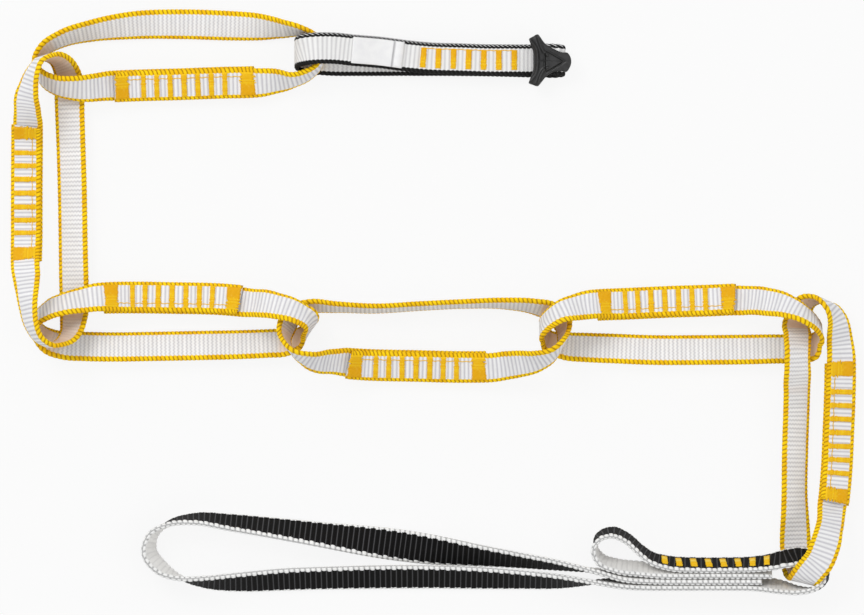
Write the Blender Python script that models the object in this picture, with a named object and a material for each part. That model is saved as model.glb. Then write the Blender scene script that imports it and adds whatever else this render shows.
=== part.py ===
"""Climbing daisy chain laid out flat: a clip loop, six sewn rings and a harness sling.

Every band is swept along a route of hand-chosen rows, each in the photo's pixels:
(pixel across, pixel down, level of the low edge, lean). The level is a share of the
webbing width. The lean is in degrees from upright, and is positive where the outer
face shows from above. The strip of a ring laps over itself where it is sewn. Its
short tacks are fused into the webbing that they go through, and each long tack is
a body of its own, with a row of stitches in a slot through both layers. A link of
the chain turns about an upright axis at its pivot.
"""
import math

import bmesh
import bpy
import numpy as np
from mathutils import Matrix, Vector

# Driving sizes, in metres
RING_PITCH = 0.105
WEBBING_WIDTH = 0.013
WEBBING_THICKNESS = 0.0021
SEWN_LENGTH = 0.0610
CLEARANCE = 0.0003
SLING_WIDTH = 0.013
SLING_THICKNESS = 0.0019

# Bar tacks: blocks of stitches through every layer of the webbing
TACK_HEIGHT = 0.0005
TACK_EDGE_MARGIN = 0.0004
STITCH_ROW_DEPTH = 0.0010
STITCH_ROW_WIDTH_SHARE = 0.60
TACK_STATIONS = 3
END_TACK_LENGTH = 0.0062
END_TACK_SPACING = 0.0529
END_TACK_COUNT = 2
LADDER_TACK_LENGTH = 0.0021
LADDER_TACK_PITCH = 0.0056
LADDER_TACK_COUNT = 7
CLIP_TACK_LENGTH = 0.0024
CLIP_TACK_WIDTH = 0.0082
CLIP_TACK_PITCH = 0.0062
CLIP_TACK_COUNT = 7
SLING_TACK_LENGTH = 0.0026
SLING_TACK_WIDTH = 0.0090
SLING_TACK_PITCH = 0.0061
SLING_TACK_COUNT = 8

# Label on the clip loop
LABEL_LENGTH = 0.0225
LABEL_WIDTH = 0.0108
LABEL_THICKNESS = 0.0007
LABEL_FOLD_LENGTH = 0.0032
LABEL_FOLD_THICKNESS = 0.0014
LABEL_FOLD_STATIONS = 5
LABEL_FLAT_STATIONS = 6

# Rubber keeper that pinches the clip loop behind its eye
KEEPER_TONGUE_CLEARANCE = 0.0004
KEEPER_FLOOR = 0.0010
KEEPER_TONGUE_THICKNESS = 0.0013
KEEPER_ROOF_THICKNESS = 0.0022
KEEPER_PAD_HEIGHT = 0.0007
KEEPER_PAD_RADIUS = 0.0034
KEEPER_PAD_CORNER_RADIUS = 0.0014
KEEPER_PAD_CORNER_STEPS = 3
KEEPER_EDGE_ROUNDING = 0.0004
KEEPER_EDGE_SEGMENTS = 1
KEEPER_SIDE_CLEARANCE = 0.0007

# Photo frame that the routes are read in
RING_PITCH_PIXELS = 256
PIXEL = RING_PITCH / RING_PITCH_PIXELS
PHOTO_CENTRE_PIXELS = (433.37, 301.96)

# Webbing section and sweep
SELVEDGE_SHARE = 0.09
LAYER_EASE_LENGTH = 0.009
ROUTE_STEPS = 14
SEWN_STATIONS = 10
STATION_LENGTH = 0.013
STATION_BEND = math.radians(16)

RING_ROUTES = {
    "ring_1": [
        (184, 84, 0.08, 74), (226, 82.5, 0.08, 74), (250, 82, 0.12, 72), (268, 81, 0.17, 58),
        (281, 80.5, 0.19, 42), (292, 80, 0.20, 26), (306, 75.5, 0.20, 18), (318, 66, 0.20, 8),
        (322, 52, 0.20, -4), (315, 38, 0.20, -10), (300, 30.5, 0.18, -15), (280, 28, 0.06, -34),
        (256, 26.5, 0.02, -58), (230, 25.5, 0, -68), (182, 24, 0, -70), (134, 25, 0.01, -60),
        (92, 30.5, 0.01, -40), (62, 38.5, 0.01, -29), (44, 49, 0.02, -20), (36, 62, 0.02, -8),
        (41, 76, 0.16, 14), (56, 85.5, 0.48, 34), (76, 88.5, 0.60, 50), (98, 87.5, 0.48, 63),
        (122, 86, 0.18, 72),
    ],
    "ring_2": [
        (26.5, 193, 0.06, 74), (26.5, 238, 0.09, 72), (26.5, 262, 0.36, 64), (28, 285, 0.90, 48),
        (29, 306, 1.06, 34), (32, 324, 1.07, 25), (39, 338, 1.00, 14), (51, 345, 0.84, 2),
        (64, 342, 0.60, -14), (72, 331, 0.24, -36), (74, 315, 0.03, -62), (74, 298, 0, -70),
        (73.5, 278, 0, -70), (73, 250, 0, -68), (72, 190, 0, -68), (70.5, 140, 0, -68),
        (69.5, 112, 0, -70), (69, 92, 0, -72), (68, 75, 0.10, -54), (62, 62, 0.42, -28),
        (51, 57, 0.82, -8), (40, 61, 1.10, 10), (33, 74, 1.18, 25), (29, 92, 1.12, 40),
        (27.5, 112, 0.72, 58), (27, 135, 0.22, 70),
    ],
    "ring_3": [
        (172, 298, 0.06, 73), (130, 297.5, 0.10, 73), (106, 298, 0.36, 66), (84, 300, 0.62, 54),
        (64, 304, 0.60, 42), (48, 310, 0.36, 30), (38, 319, 0.10, 10), (38, 331, 0, -22),
        (48, 341, 0, -50), (64, 345.5, 0, -64), (84, 346.5, 0, -68), (112, 347, 0, -68),
        (150, 346.5, 0, -68), (202, 345.5, 0, -68), (245, 344.5, 0, -66), (268, 343.5, 0, -64),
        (285, 342.5, 0, -62), (299, 339, 0.02, -36), (309, 330, 0.34, 4), (308, 319, 0.86, 30),
        (295, 311, 1.14, 46), (274, 305.5, 1.00, 54), (250, 302, 0.50, 64), (225, 299.5, 0.15, 71),
    ],
    "ring_4": [
        (416, 366, 0.06, 72), (465, 367, 0.09, 72), (492, 366.5, 0.26, 67), (516, 364, 0.62, 56),
        (538, 360, 0.88, 38), (555, 352, 0.94, 16), (564, 338, 0.62, -8), (562, 323, 0.18, -30),
        (551, 311.5, 0, -36), (534, 306.5, 0, -26), (505, 303.5, 0, -16), (461, 304, 0, -11),
        (420, 306, 0, -11), (375, 308.5, 0, -12), (335, 307, 0, -16), (312, 306.5, 0, -24),
        (298, 311.5, 0.05, -34), (287.5, 324, 0.46, -30), (284.5, 338, 0.86, -14), (292, 351, 1.06, 4),
        (308, 358.5, 1.02, 26), (334, 362, 0.58, 52), (362, 364.5, 0.14, 68),
    ],
    "ring_5": [
        (665, 302, 0.07, 74), (622, 304, 0.11, 73), (598, 305, 0.40, 65), (577, 307.5, 0.90, 52),
        (559, 312.5, 1.08, 40), (547, 321, 0.84, 24), (542, 332, 0.30, -6), (549, 342, 0.02, -38),
        (564, 346, 0, -60), (586, 347.5, 0, -68), (612, 348.5, 0, -70), (650, 350, 0, -71),
        (705, 350, 0, -71), (750, 349.5, 0, -70), (776, 349, 0, -67), (796, 349, 0, -64),
        (812, 348, 0, -46), (819.5, 338, 0.16, -10), (816.5, 325, 0.66, 10), (803, 314, 1.02, 30),
        (786, 306.5, 1.00, 46), (764, 301.5, 0.62, 60), (738, 299.5, 0.18, 70), (710, 300.5, 0.09, 74),
    ],
    "ring_6": [
        (838.5, 434, 0.06, 73), (840, 395, 0.08, 73), (840.3, 362, 0.14, 68), (839.5, 338, 0.24, 54),
        (836, 318, 0.34, 36), (829, 306, 0.36, 16), (818, 299, 0.20, -6), (807, 301, 0.06, -28),
        (799.5, 310, 0, -50), (797, 323, 0.08, -58), (797, 337, 0.52, -54), (797, 351, 0.80, -54),
        (797, 367, 0.72, -54), (797, 388, 0.28, -55), (796.5, 412, 0.04, -56), (795.3, 450, 0, -56),
        (794.8, 505, 0, -58), (795.5, 528, 0, -70), (796, 549, 0, -84), (796.5, 560, 0.02, -80),
        (797, 571, 0.20, -50), (799, 577, 0.58, -30), (804, 579.5, 0.96, 20), (809, 573, 1.14, 25),
        (815.5, 561, 1.18, 42), (823, 548, 1.08, 48), (829, 527, 0.82, 58), (833.5, 502, 0.34, 67),
        (836.8, 470, 0.10, 72),
    ],
}

# Pivot of each link in photo pixels, and the link that it turns on; ring_4 stays still
PIVOT_PIXELS = {
    "ring_4": ((433, 330), None), "ring_3": ((301, 330), "ring_4"), "ring_2": ((60, 325), "ring_3"),
    "ring_1": ((50, 70), "ring_2"), "clip_loop": ((309, 62), "ring_1"), "ring_5": ((552, 332), "ring_4"),
    "ring_6": ((805, 325), "ring_5"), "harness_sling": ((812, 583), "ring_6"),
}

# Harness sling, one strip from its cut end round the long loop, the eye and the short loop
SLING_ROUTE = [
    (762, 577, 0.02, 203), (720, 577, 0.02, 203), (680, 577, 0.02, 203), (650, 576.5, 0.02, 203),
    (625, 575.5, 0.02, 199), (598, 571.5, 0.02, 184), (560, 565.5, 0.02, 167), (518, 560, 0.02, 154),
    (476, 555, 0.02, 138), (434, 550, 0.02, 112), (385, 543.5, 0.02, 80), (330, 536, 0.02, 52),
    (280, 529, 0.02, 38), (230, 522.5, 0.02, 27), (195, 519, 0.02, 16), (168, 524, 0.02, 2),
    (152, 536, 0.02, -14), (149, 552, 0.02, -24), (161, 568, 0.02, -22), (180, 578, 0.02, -2),
    (205, 582, 0.02, 18), (240, 582, 0.02, 34), (285, 579.5, 0.02, 42), (335, 578, 0.02, 44),
    (390, 577, 0.02, 46), (434, 577, 0.02, 45), (476, 578, 0.02, 42), (518, 579.5, 0.02, 34),
    (560, 581.5, 0.02, 22), (598, 582.5, 0.02, -2), (625, 583, 0.02, -18), (650, 583, 0.02, -23),
    (680, 583, 0.02, -23), (720, 583, 0.02, -23), (755, 583.5, 0.02, -23), (780, 587, 0.02, -20),
    (800, 590.5, 0.02, -8), (815, 589, 0.02, 2), (825, 580, 0.02, 6), (823, 568, 0.04, 18),
    (812, 559, 0.21, 30), (798, 557, 0.25, 31), (784, 559, 0.32, 29), (767, 562.5, 0.18, 25),
    (748, 564.5, 0.05, 23), (728, 565, 0.02, 23), (700, 565, 0.02, 23), (668, 563, 0.02, 22),
    (651, 558, 0.02, 18), (639, 549, 0.02, 14), (627, 538.5, 0.02, 14), (612, 532.5, 0.02, 15),
    (598.5, 538, 0.02, 8), (595, 550, 0.02, -8), (601.5, 560.5, 0.02, -18), (616, 566, 0.02, -22),
    (640, 569, 0.02, -23), (665, 571, 0.02, -23), (700, 571, 0.02, -23), (740, 571, 0.02, -23),
    (772, 571, 0.02, -23),
]

# Clip loop: (pixel across, pixel down, height of the middle as a share of the width)
CLIP_ROUTE = [
    (412, 60, 0.15), (445, 60, 0.15), (490, 60.5, 0.155), (512, 61, 0.17), (530, 61.5, 0.19),
    (544, 61.5, 0.185), (552, 62, 0.165), (559.5, 61.5, 0.20), (563, 60.7, 0.36), (559.5, 60, 0.52),
    (552, 59.3, 0.55), (544, 59.5, 0.48), (536, 60, 0.405), (527, 60, 0.40), (518, 60, 0.46),
    (508, 60, 0.53), (490, 60, 0.55), (460, 59, 0.55), (430, 58, 0.55), (408, 56, 0.58),
    (380, 52.5, 0.74), (354, 50.5, 1.08), (332, 48.5, 1.33), (311, 49, 1.35), (300, 51, 1.10),
    (297, 53.5, 0.74), (300, 56, 0.36), (310, 58, 0.13), (326, 59.5, 0.095), (360, 60, 0.095),
    (382, 60, 0.13), (398, 60, 0.28), (410, 60, 0.345), (440, 60, 0.35), (480, 60, 0.35),
    (500, 60, 0.355),
]

LABEL_PIXELS = (379, 53)
CLIP_TACKS_PIXELS = (468.5, 60)
SLING_TACKS_PIXELS = [(716, 565), (716, 583)]

# Keeper seen from above, clockwise in the photo from the collar's left edge
KEEPER_OUTLINE_PIXELS = [
    (532.5, 42), (529, 39.5), (538, 34.5), (543, 40), (546.5, 45.5), (551, 49.5), (558, 52), (566, 51),
    (571, 55.5), (572.5, 62), (570.5, 68.5), (566, 72), (558, 70.5), (551, 73.5), (546.5, 77.5),
    (543, 82.5), (538, 87), (528.5, 83.5), (532.5, 80.5),
]
KEEPER_COLLAR_END_PIXELS = 545
KEEPER_MIDDLE_PIXELS = 60.5
KEEPER_PAD_PIXELS = (551.5, 61.5)

MATERIALS = {
    "ring_webbing": ((0.82, 0.78, 0.66), 0.85),
    "clip_webbing": ((0.72, 0.72, 0.72), 0.85),
    "sling_webbing": ((0.03, 0.03, 0.03), 0.85),
    "yellow_thread": ((0.90, 0.52, 0.02), 0.75),
    "label_cloth": ((0.86, 0.86, 0.86), 0.60),
    "black_rubber": ((0.02, 0.02, 0.02), 0.55),
}


def clear_scene():
    for obj in list(bpy.data.objects):
        bpy.data.objects.remove(obj, do_unlink=True)


def plan_metres(across, down):
    """Photo pixels to metres in plan, with the photo's up along +Y."""
    centre_across, centre_down = PHOTO_CENTRE_PIXELS
    return (across - centre_across) * PIXEL, (centre_down - down) * PIXEL


def unit(vectors):
    return vectors / np.linalg.norm(vectors, axis=1, keepdims=True)


def smooth_route(rows, closed):
    """Hermite curve through the rows, its slopes weighted by the lengths of both spans."""
    rows = np.array(rows, float)
    count = len(rows)
    spans = np.linalg.norm(np.roll(rows, -1, 0)[:, :3] - rows[:, :3], axis=1)
    slopes = np.zeros_like(rows)
    for i in range(count):
        before, after = rows[i - 1], rows[(i + 1) % count]
        span_before, span_after = spans[i - 1], spans[i]
        slope_after, slope_before = (after - rows[i]) / span_after, (rows[i] - before) / span_before
        slopes[i] = (slope_after * span_before + slope_before * span_after) / (span_before + span_after)
    if not closed:
        slopes[0] = (rows[1] - rows[0]) / spans[0]
        slopes[-1] = (rows[-1] - rows[-2]) / spans[-2]
    points = []
    for i in range(count if closed else count - 1):
        j = (i + 1) % count
        for step in range(ROUTE_STEPS):
            u = step / ROUTE_STEPS
            points.append(
                (2 * u**3 - 3 * u**2 + 1) * rows[i] + (u**3 - 2 * u**2 + u) * spans[i] * slopes[i]
                + (3 * u**2 - 2 * u**3) * rows[j] + (u**3 - u**2) * spans[i] * slopes[j])
    if not closed:
        points.append(rows[-1])
    return np.array(points)


class BandLine:
    """Middle line of a band, with its travel, across and face directions at each point."""

    def __init__(self, centres, travel, across, face, arc=None):
        self.centres, self.travel, self.across, self.face = centres, travel, across, face
        steps = np.linalg.norm(np.diff(centres, axis=0), axis=1)
        self.arc = np.concatenate([[0], np.cumsum(steps)]) if arc is None else arc

    def at(self, arcs):
        """The same line at other arc lengths."""
        def pick(values):
            return np.stack([np.interp(arcs, self.arc, values[:, k]) for k in range(3)], 1)
        return BandLine(pick(self.centres), unit(pick(self.travel)), unit(pick(self.across)),
                        unit(pick(self.face)))

    def shifted(self, offset):
        """The line moved along its face direction, which keeps its arc lengths."""
        offsets = np.broadcast_to(offset, len(self.centres))[:, None]
        return BandLine(self.centres + offsets * self.face, self.travel, self.across, self.face, self.arc)

    def turned(self):
        """The line with its faces swapped."""
        return BandLine(self.centres, self.travel, -self.across, -self.face)

    def stations(self, fixed=()):
        """As few points as the bends and twists need, with one at each fixed arc length."""
        def turn(values):
            return np.arccos(np.clip((values[1:] * values[:-1]).sum(1), -1, 1))
        steps = np.diff(self.arc) / STATION_LENGTH
        bends = np.maximum(turn(self.travel), turn(self.across)) / STATION_BEND
        budget = np.concatenate([[0], np.cumsum(steps + bends)])
        knots = np.interp(sorted({0, self.arc[-1], *fixed}), self.arc, budget)
        wanted = [0]
        for low, high in zip(knots[:-1], knots[1:]):
            wanted.extend(np.linspace(low, high, math.ceil(high - low) + 1)[1:])
        return self.at(np.interp(wanted, budget, self.arc))


def framed(centres, across_guess, closed):
    """Travel from the centres, and across and face directions square to it."""
    if closed:
        travel = unit(np.roll(centres, -1, 0) - np.roll(centres, 1, 0))
    else:
        travel = unit(np.gradient(centres, axis=0))
    across = unit(across_guess - (across_guess * travel).sum(1, keepdims=True) * travel)
    return BandLine(centres, travel, across, np.cross(travel, across))


def leaning_line(rows, width, thickness, closed, extra_thickness=0.0):
    """Line of a band that leans: across is its high edge and face its outer side."""
    points = smooth_route([(*plan_metres(x, y), level * width, math.radians(lean))
                           for x, y, level, lean in rows], closed)
    plan = points[:, :2]
    if closed:
        travel = unit(np.roll(plan, -1, 0) - np.roll(plan, 1, 0))
    else:
        travel = unit(np.gradient(plan, axis=0))
    lean = points[:, 3]
    across = np.stack([-np.sin(lean) * travel[:, 1], np.sin(lean) * travel[:, 0], np.cos(lean)], 1)
    height = points[:, 2] + width / 2 * np.abs(np.cos(lean))
    height += (thickness + extra_thickness) / 2 * np.abs(np.sin(lean))
    return framed(np.column_stack([plan, height]), across, closed)


def eased(distance, length):
    share = np.clip(distance / length, 0, 1)
    return share * share * (3 - 2 * share)


def ring_line(rows):
    """Open strip round the ring, whose two ends lie face to face in the sewn part."""
    layer_pitch = WEBBING_THICKNESS + CLEARANCE
    half_sewn = SEWN_LENGTH / 2
    closed = leaning_line(rows, WEBBING_WIDTH, WEBBING_THICKNESS, True)
    closing = np.linalg.norm(closed.centres[0] - closed.centres[-1])
    length = closed.arc[-1] + closing
    from_middle = np.minimum(closed.arc, length - closed.arc)
    thicker = layer_pitch * (1 - eased(from_middle - half_sewn, LAYER_EASE_LENGTH))
    closed = leaning_line(rows, WEBBING_WIDTH, WEBBING_THICKNESS, True, thicker)
    thrice = BandLine(*(np.concatenate([part] * 3) for part in
                        (closed.centres, closed.travel, closed.across, closed.face)))
    start = thrice.arc[len(closed.centres)]
    length = thrice.arc[2 * len(closed.centres)] - start
    arcs = np.linspace(-half_sewn, length + half_sewn, len(closed.centres))
    strip = thrice.at(start + arcs)
    outer = 1 - eased(arcs - half_sewn, LAYER_EASE_LENGTH)
    inner = eased(arcs - (length - half_sewn - LAYER_EASE_LENGTH), LAYER_EASE_LENGTH)
    return strip.shifted(layer_pitch / 2 * (outer - inner))


def clip_line():
    """Line of the clip loop, which lies flat and turns back over itself."""
    points = smooth_route([(*plan_metres(x, y), height * WEBBING_WIDTH) for x, y, height in CLIP_ROUTE],
                          False)
    across = np.tile([0.0, -1.0, 0.0], (len(points), 1))
    return framed(points, across, False)


def band_section(width, thickness):
    """Six corners (across, face) of webbing that thins along its selvedges, going round once."""
    half, side = width / 2, thickness / 2
    flat = half - SELVEDGE_SHARE * width
    return [(half, 0), (flat, side), (-flat, side), (-half, 0), (-flat, -side), (flat, -side)]


def box_section(width, thickness):
    half, side = width / 2, thickness / 2
    return [(half, -side), (half, side), (-half, side), (-half, -side)]


def pad_section(width, low):
    """Four corners of a tack's pad that stands on a face."""
    half, high = width / 2, low + TACK_HEIGHT
    return [(half, low), (half - TACK_HEIGHT, high), (TACK_HEIGHT - half, high), (-half, low)]


def strip_faces(rows, corners):
    """Faces of a closed solid whose points come as rows of section corners."""
    last = rows * corners
    faces = [tuple(range(corners - 1, -1, -1)), tuple(range(last - corners, last))]
    for i in range(rows - 1):
        for k in range(corners):
            here, there = i * corners + k, i * corners + (k + 1) % corners
            faces.append((here, there, there + corners, here + corners))
    return faces


def swept(line, section):
    """Points and faces of a closed solid: the section carried along the line."""
    corners = len(section)
    points = []
    for centre, across, face in zip(line.centres, line.across, line.face):
        points.extend(centre + a * across + f * face for a, f in section)
    return points, strip_faces(len(line.centres), corners)


def mesh_object(name, solids):
    """Object from a list of (points, faces) in the part's own frame."""
    points, faces = [], []
    for solid_points, solid_faces in solids:
        shift = len(points)
        points.extend(tuple(point) for point in solid_points)
        faces.extend(tuple(shift + index for index in face) for face in solid_faces)
    mesh = bpy.data.meshes.new(name)
    mesh.from_pydata(points, [], faces)
    obj = bpy.data.objects.new(name, mesh)
    bpy.context.scene.collection.objects.link(obj)
    return obj


def combined(body, tool, operation):
    """Body with the tool cut away or added, and the tool removed."""
    modifier = body.modifiers.new(operation.lower(), "BOOLEAN")
    modifier.operation = operation
    modifier.object = tool
    graph = bpy.context.evaluated_depsgraph_get()
    mesh = bpy.data.meshes.new_from_object(body.evaluated_get(graph))
    body.modifiers.remove(modifier)
    body.data = mesh
    bpy.data.objects.remove(tool, do_unlink=True)


def settled(obj, material, pivot):
    """Gives an object its material, and its place on the empty that carries its link."""
    empty, place = pivot
    obj.data.materials.clear()
    obj.data.materials.append(material_named(material))
    obj.data.transform(Matrix.Translation(-place))
    obj.parent = empty


def material_named(name):
    """The Principled material of one kind of cloth, thread or rubber, made once."""
    if name in bpy.data.materials:
        return bpy.data.materials[name]
    colour, roughness = MATERIALS[name]
    material = bpy.data.materials.new(name)
    material.use_nodes = True
    shader = material.node_tree.nodes["Principled BSDF"]
    shader.inputs["Base Color"].default_value = (*colour, 1)
    shader.inputs["Roughness"].default_value = roughness
    shader.inputs["Metallic"].default_value = 0.0
    return material


def spread(count, pitch):
    """Places of a row that is centred on zero."""
    return (np.arange(count) - (count - 1) / 2) * pitch


def arc_near(line, across, down, height):
    """Arc length of the line's point that lies nearest to a place."""
    place = np.array([*plan_metres(across, down), height])
    return line.arc[np.argmin(np.linalg.norm(line.centres - place, axis=1))]


def tack_stretches(line, outer_middle, inner_middle, places, length):
    """Pairs of short lines under each tack, on the two outside layers of a sewn stack."""
    ends = line.at([outer_middle, inner_middle])
    way = math.copysign(1, ends.travel[0].dot(ends.travel[1]))
    across_tack = np.linspace(-length / 2, length / 2, TACK_STATIONS)
    pairs = []
    for place in places:
        outer = line.at(outer_middle + place + across_tack)
        inner = line.at(inner_middle + way * (place + across_tack))
        pairs.append((outer, inner.turned() if outer.face[0].dot(inner.face[0]) > 0 else inner))
    return pairs


def stitch_row(pair, width, thickness, clearance):
    """Flat row of stitches from one pad of a tack to the other, or the slot for it."""
    reach = thickness / 2 + CLEARANCE + TACK_HEIGHT / 2
    section = box_section(STITCH_ROW_WIDTH_SHARE * width + 2 * clearance, STITCH_ROW_DEPTH + 2 * clearance)
    middle = TACK_STATIONS // 2
    outer = pair[0]
    points = []
    for line in pair:
        across, along = (own[middle] * math.copysign(1, own[middle].dot(guide[middle]))
                         for own, guide in ((line.across, outer.across), (line.travel, outer.travel)))
        centre = line.centres[middle] + reach * line.face[middle]
        points.extend(centre + a * across + b * along for a, b in section)
    return points, strip_faces(len(pair), len(section))


def add_tacks(webbing, name, pairs, width, thickness, pivot):
    """Numbered tacks through a stack of webbing, each in a slot of its own."""
    section = pad_section(width, thickness / 2 + CLEARANCE)
    for number, pair in enumerate(pairs, 1):
        tack = mesh_object(f"{name}_{number}", [swept(line, section) for line in pair])
        combined(tack, mesh_object("stitch_row", [stitch_row(pair, width, thickness, 0)]), "UNION")
        settled(tack, "yellow_thread", pivot)
    slots = [stitch_row(pair, width, thickness, CLEARANCE) for pair in pairs]
    combined(webbing, mesh_object("slots", slots), "DIFFERENCE")


def add_ring(name, pivot):
    """Webbing of one ring with its ladder of short tacks, and the two long tacks beside it."""
    line = ring_line(RING_ROUTES[name])
    sewn = np.linspace(0, SEWN_LENGTH, SEWN_STATIONS)
    strip = line.stations([*sewn, *(line.arc[-1] - sewn)])
    webbing = mesh_object(name + "_webbing", [swept(strip, band_section(WEBBING_WIDTH, WEBBING_THICKNESS))])
    outer_middle = SEWN_LENGTH / 2
    inner_middle = line.arc[-1] - SEWN_LENGTH / 2
    tack_width = WEBBING_WIDTH - 2 * SELVEDGE_SHARE * WEBBING_WIDTH - 2 * TACK_EDGE_MARGIN
    layer_pitch = WEBBING_THICKNESS + CLEARANCE
    through = layer_pitch + WEBBING_THICKNESS + 2 * TACK_HEIGHT
    bar_ends = np.array([-LADDER_TACK_LENGTH, LADDER_TACK_LENGTH]) / 2
    between = line.shifted(-layer_pitch / 2)
    bars = [swept(between.at(outer_middle + place + bar_ends), box_section(tack_width, through))
            for place in spread(LADDER_TACK_COUNT, LADDER_TACK_PITCH)]
    combined(webbing, mesh_object("ladder", bars), "UNION")
    pairs = tack_stretches(line, outer_middle, inner_middle, spread(END_TACK_COUNT, END_TACK_SPACING),
                           END_TACK_LENGTH)
    add_tacks(webbing, name + "_end_tack", pairs, tack_width, WEBBING_THICKNESS, pivot)
    settled(webbing, "ring_webbing", pivot)


def add_label(line, pivot):
    """Plain tag on the front strand, with a thicker fold at its sewn end."""
    middle = arc_near(line, *LABEL_PIXELS, WEBBING_WIDTH)
    low = WEBBING_THICKNESS / 2 + CLEARANCE
    start, end = middle - LABEL_LENGTH / 2, middle + LABEL_LENGTH / 2
    fold = start + LABEL_FOLD_LENGTH
    half = LABEL_WIDTH / 2
    arcs = np.concatenate([np.linspace(start, fold, LABEL_FOLD_STATIONS),
                           np.linspace(fold, end, LABEL_FLAT_STATIONS)[1:]])
    stretch = line.at(arcs)
    points = []
    for arc, centre, across, face in zip(arcs, stretch.centres, stretch.across, stretch.face):
        bulge = max(0.0, math.sin(math.pi * min(1.0, (arc - start) / LABEL_FOLD_LENGTH)))
        top = low + LABEL_THICKNESS + (LABEL_FOLD_THICKNESS - LABEL_THICKNESS) * bulge
        corners = ((half, low), (half, top), (-half, top), (-half, low))
        points.extend(centre + a * across + f * face for a, f in corners)
    settled(mesh_object("clip_loop_label", [(points, strip_faces(len(arcs), len(corners)))]),
            "label_cloth", pivot)


def add_clip_loop(pivot):
    """Webbing of the clip loop, the tacks through its three layers, and its tag."""
    line = clip_line()
    webbing = mesh_object("clip_loop_webbing",
                          [swept(line.stations(), band_section(WEBBING_WIDTH, WEBBING_THICKNESS))])
    pairs = tack_stretches(line, arc_near(line, *CLIP_TACKS_PIXELS, WEBBING_WIDTH),
                           arc_near(line, *CLIP_TACKS_PIXELS, 0), spread(CLIP_TACK_COUNT, CLIP_TACK_PITCH),
                           CLIP_TACK_LENGTH)
    add_tacks(webbing, "clip_loop_tack", pairs, CLIP_TACK_WIDTH, WEBBING_THICKNESS, pivot)
    settled(webbing, "clip_webbing", pivot)
    add_label(line, pivot)


def add_harness_sling(pivot):
    """Webbing of the harness sling and the tacks through its four layers."""
    line = leaning_line(SLING_ROUTE, SLING_WIDTH, SLING_THICKNESS, False)
    webbing = mesh_object("harness_sling_webbing",
                          [swept(line.stations(), band_section(SLING_WIDTH, SLING_THICKNESS))])
    outer_middle, inner_middle = (arc_near(line, *place, SLING_WIDTH / 2) for place in SLING_TACKS_PIXELS)
    pairs = tack_stretches(line, outer_middle, inner_middle, spread(SLING_TACK_COUNT, SLING_TACK_PITCH),
                           SLING_TACK_LENGTH)
    add_tacks(webbing, "harness_sling_tack", pairs, SLING_TACK_WIDTH, SLING_THICKNESS, pivot)
    settled(webbing, "sling_webbing", pivot)


def prism(name, outline, low, high):
    """Closed upright prism over a plan outline that runs anticlockwise."""
    count = len(outline)
    points = [(x, y, low) for x, y in outline] + [(x, y, high) for x, y in outline]
    faces = [tuple(range(count - 1, -1, -1)), tuple(range(count, 2 * count))]
    faces += [(i, (i + 1) % count, (i + 1) % count + count, i + count) for i in range(count)]
    return mesh_object(name, [(points, faces)])


def round_top(obj, high):
    """Rounds the edges of a prism's top face."""
    shape = bmesh.new()
    shape.from_mesh(obj.data)
    rim = [edge for edge in shape.edges
           if all(math.isclose(vert.co.z, high, rel_tol=1e-4) for vert in edge.verts)]
    bmesh.ops.bevel(shape, geom=rim, offset=KEEPER_EDGE_ROUNDING, segments=KEEPER_EDGE_SEGMENTS,
                    profile=0.5, affect="EDGES", clamp_overlap=True)
    shape.to_mesh(obj.data)
    shape.free()


def rounded_triangle(centre, radius, corner_radius, steps):
    """Triangle that points along +X, with arcs at its corners."""
    outline = []
    for corner in range(3):
        heading = 2 * math.pi / 3 * corner
        reach = radius - corner_radius
        middle = (centre[0] + reach * math.cos(heading), centre[1] + reach * math.sin(heading))
        for step in range(steps + 1):
            angle = heading + (step / steps - 0.5) * 2 * math.pi / 3
            outline.append((middle[0] + corner_radius * math.cos(angle),
                            middle[1] + corner_radius * math.sin(angle)))
    return outline


def box_outline(x_low, x_high, y_low, y_high):
    return [(x_low, y_low), (x_high, y_low), (x_high, y_high), (x_low, y_high)]


def keeper_height():
    """Level of the keeper's top, whose tongue lies just over the highest row of the eye."""
    eye_level = max(level for across, down, level in CLIP_ROUTE if across > KEEPER_COLLAR_END_PIXELS)
    eye_top = eye_level * WEBBING_WIDTH + WEBBING_THICKNESS / 2
    return eye_top + KEEPER_TONGUE_CLEARANCE + KEEPER_TONGUE_THICKNESS


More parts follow.
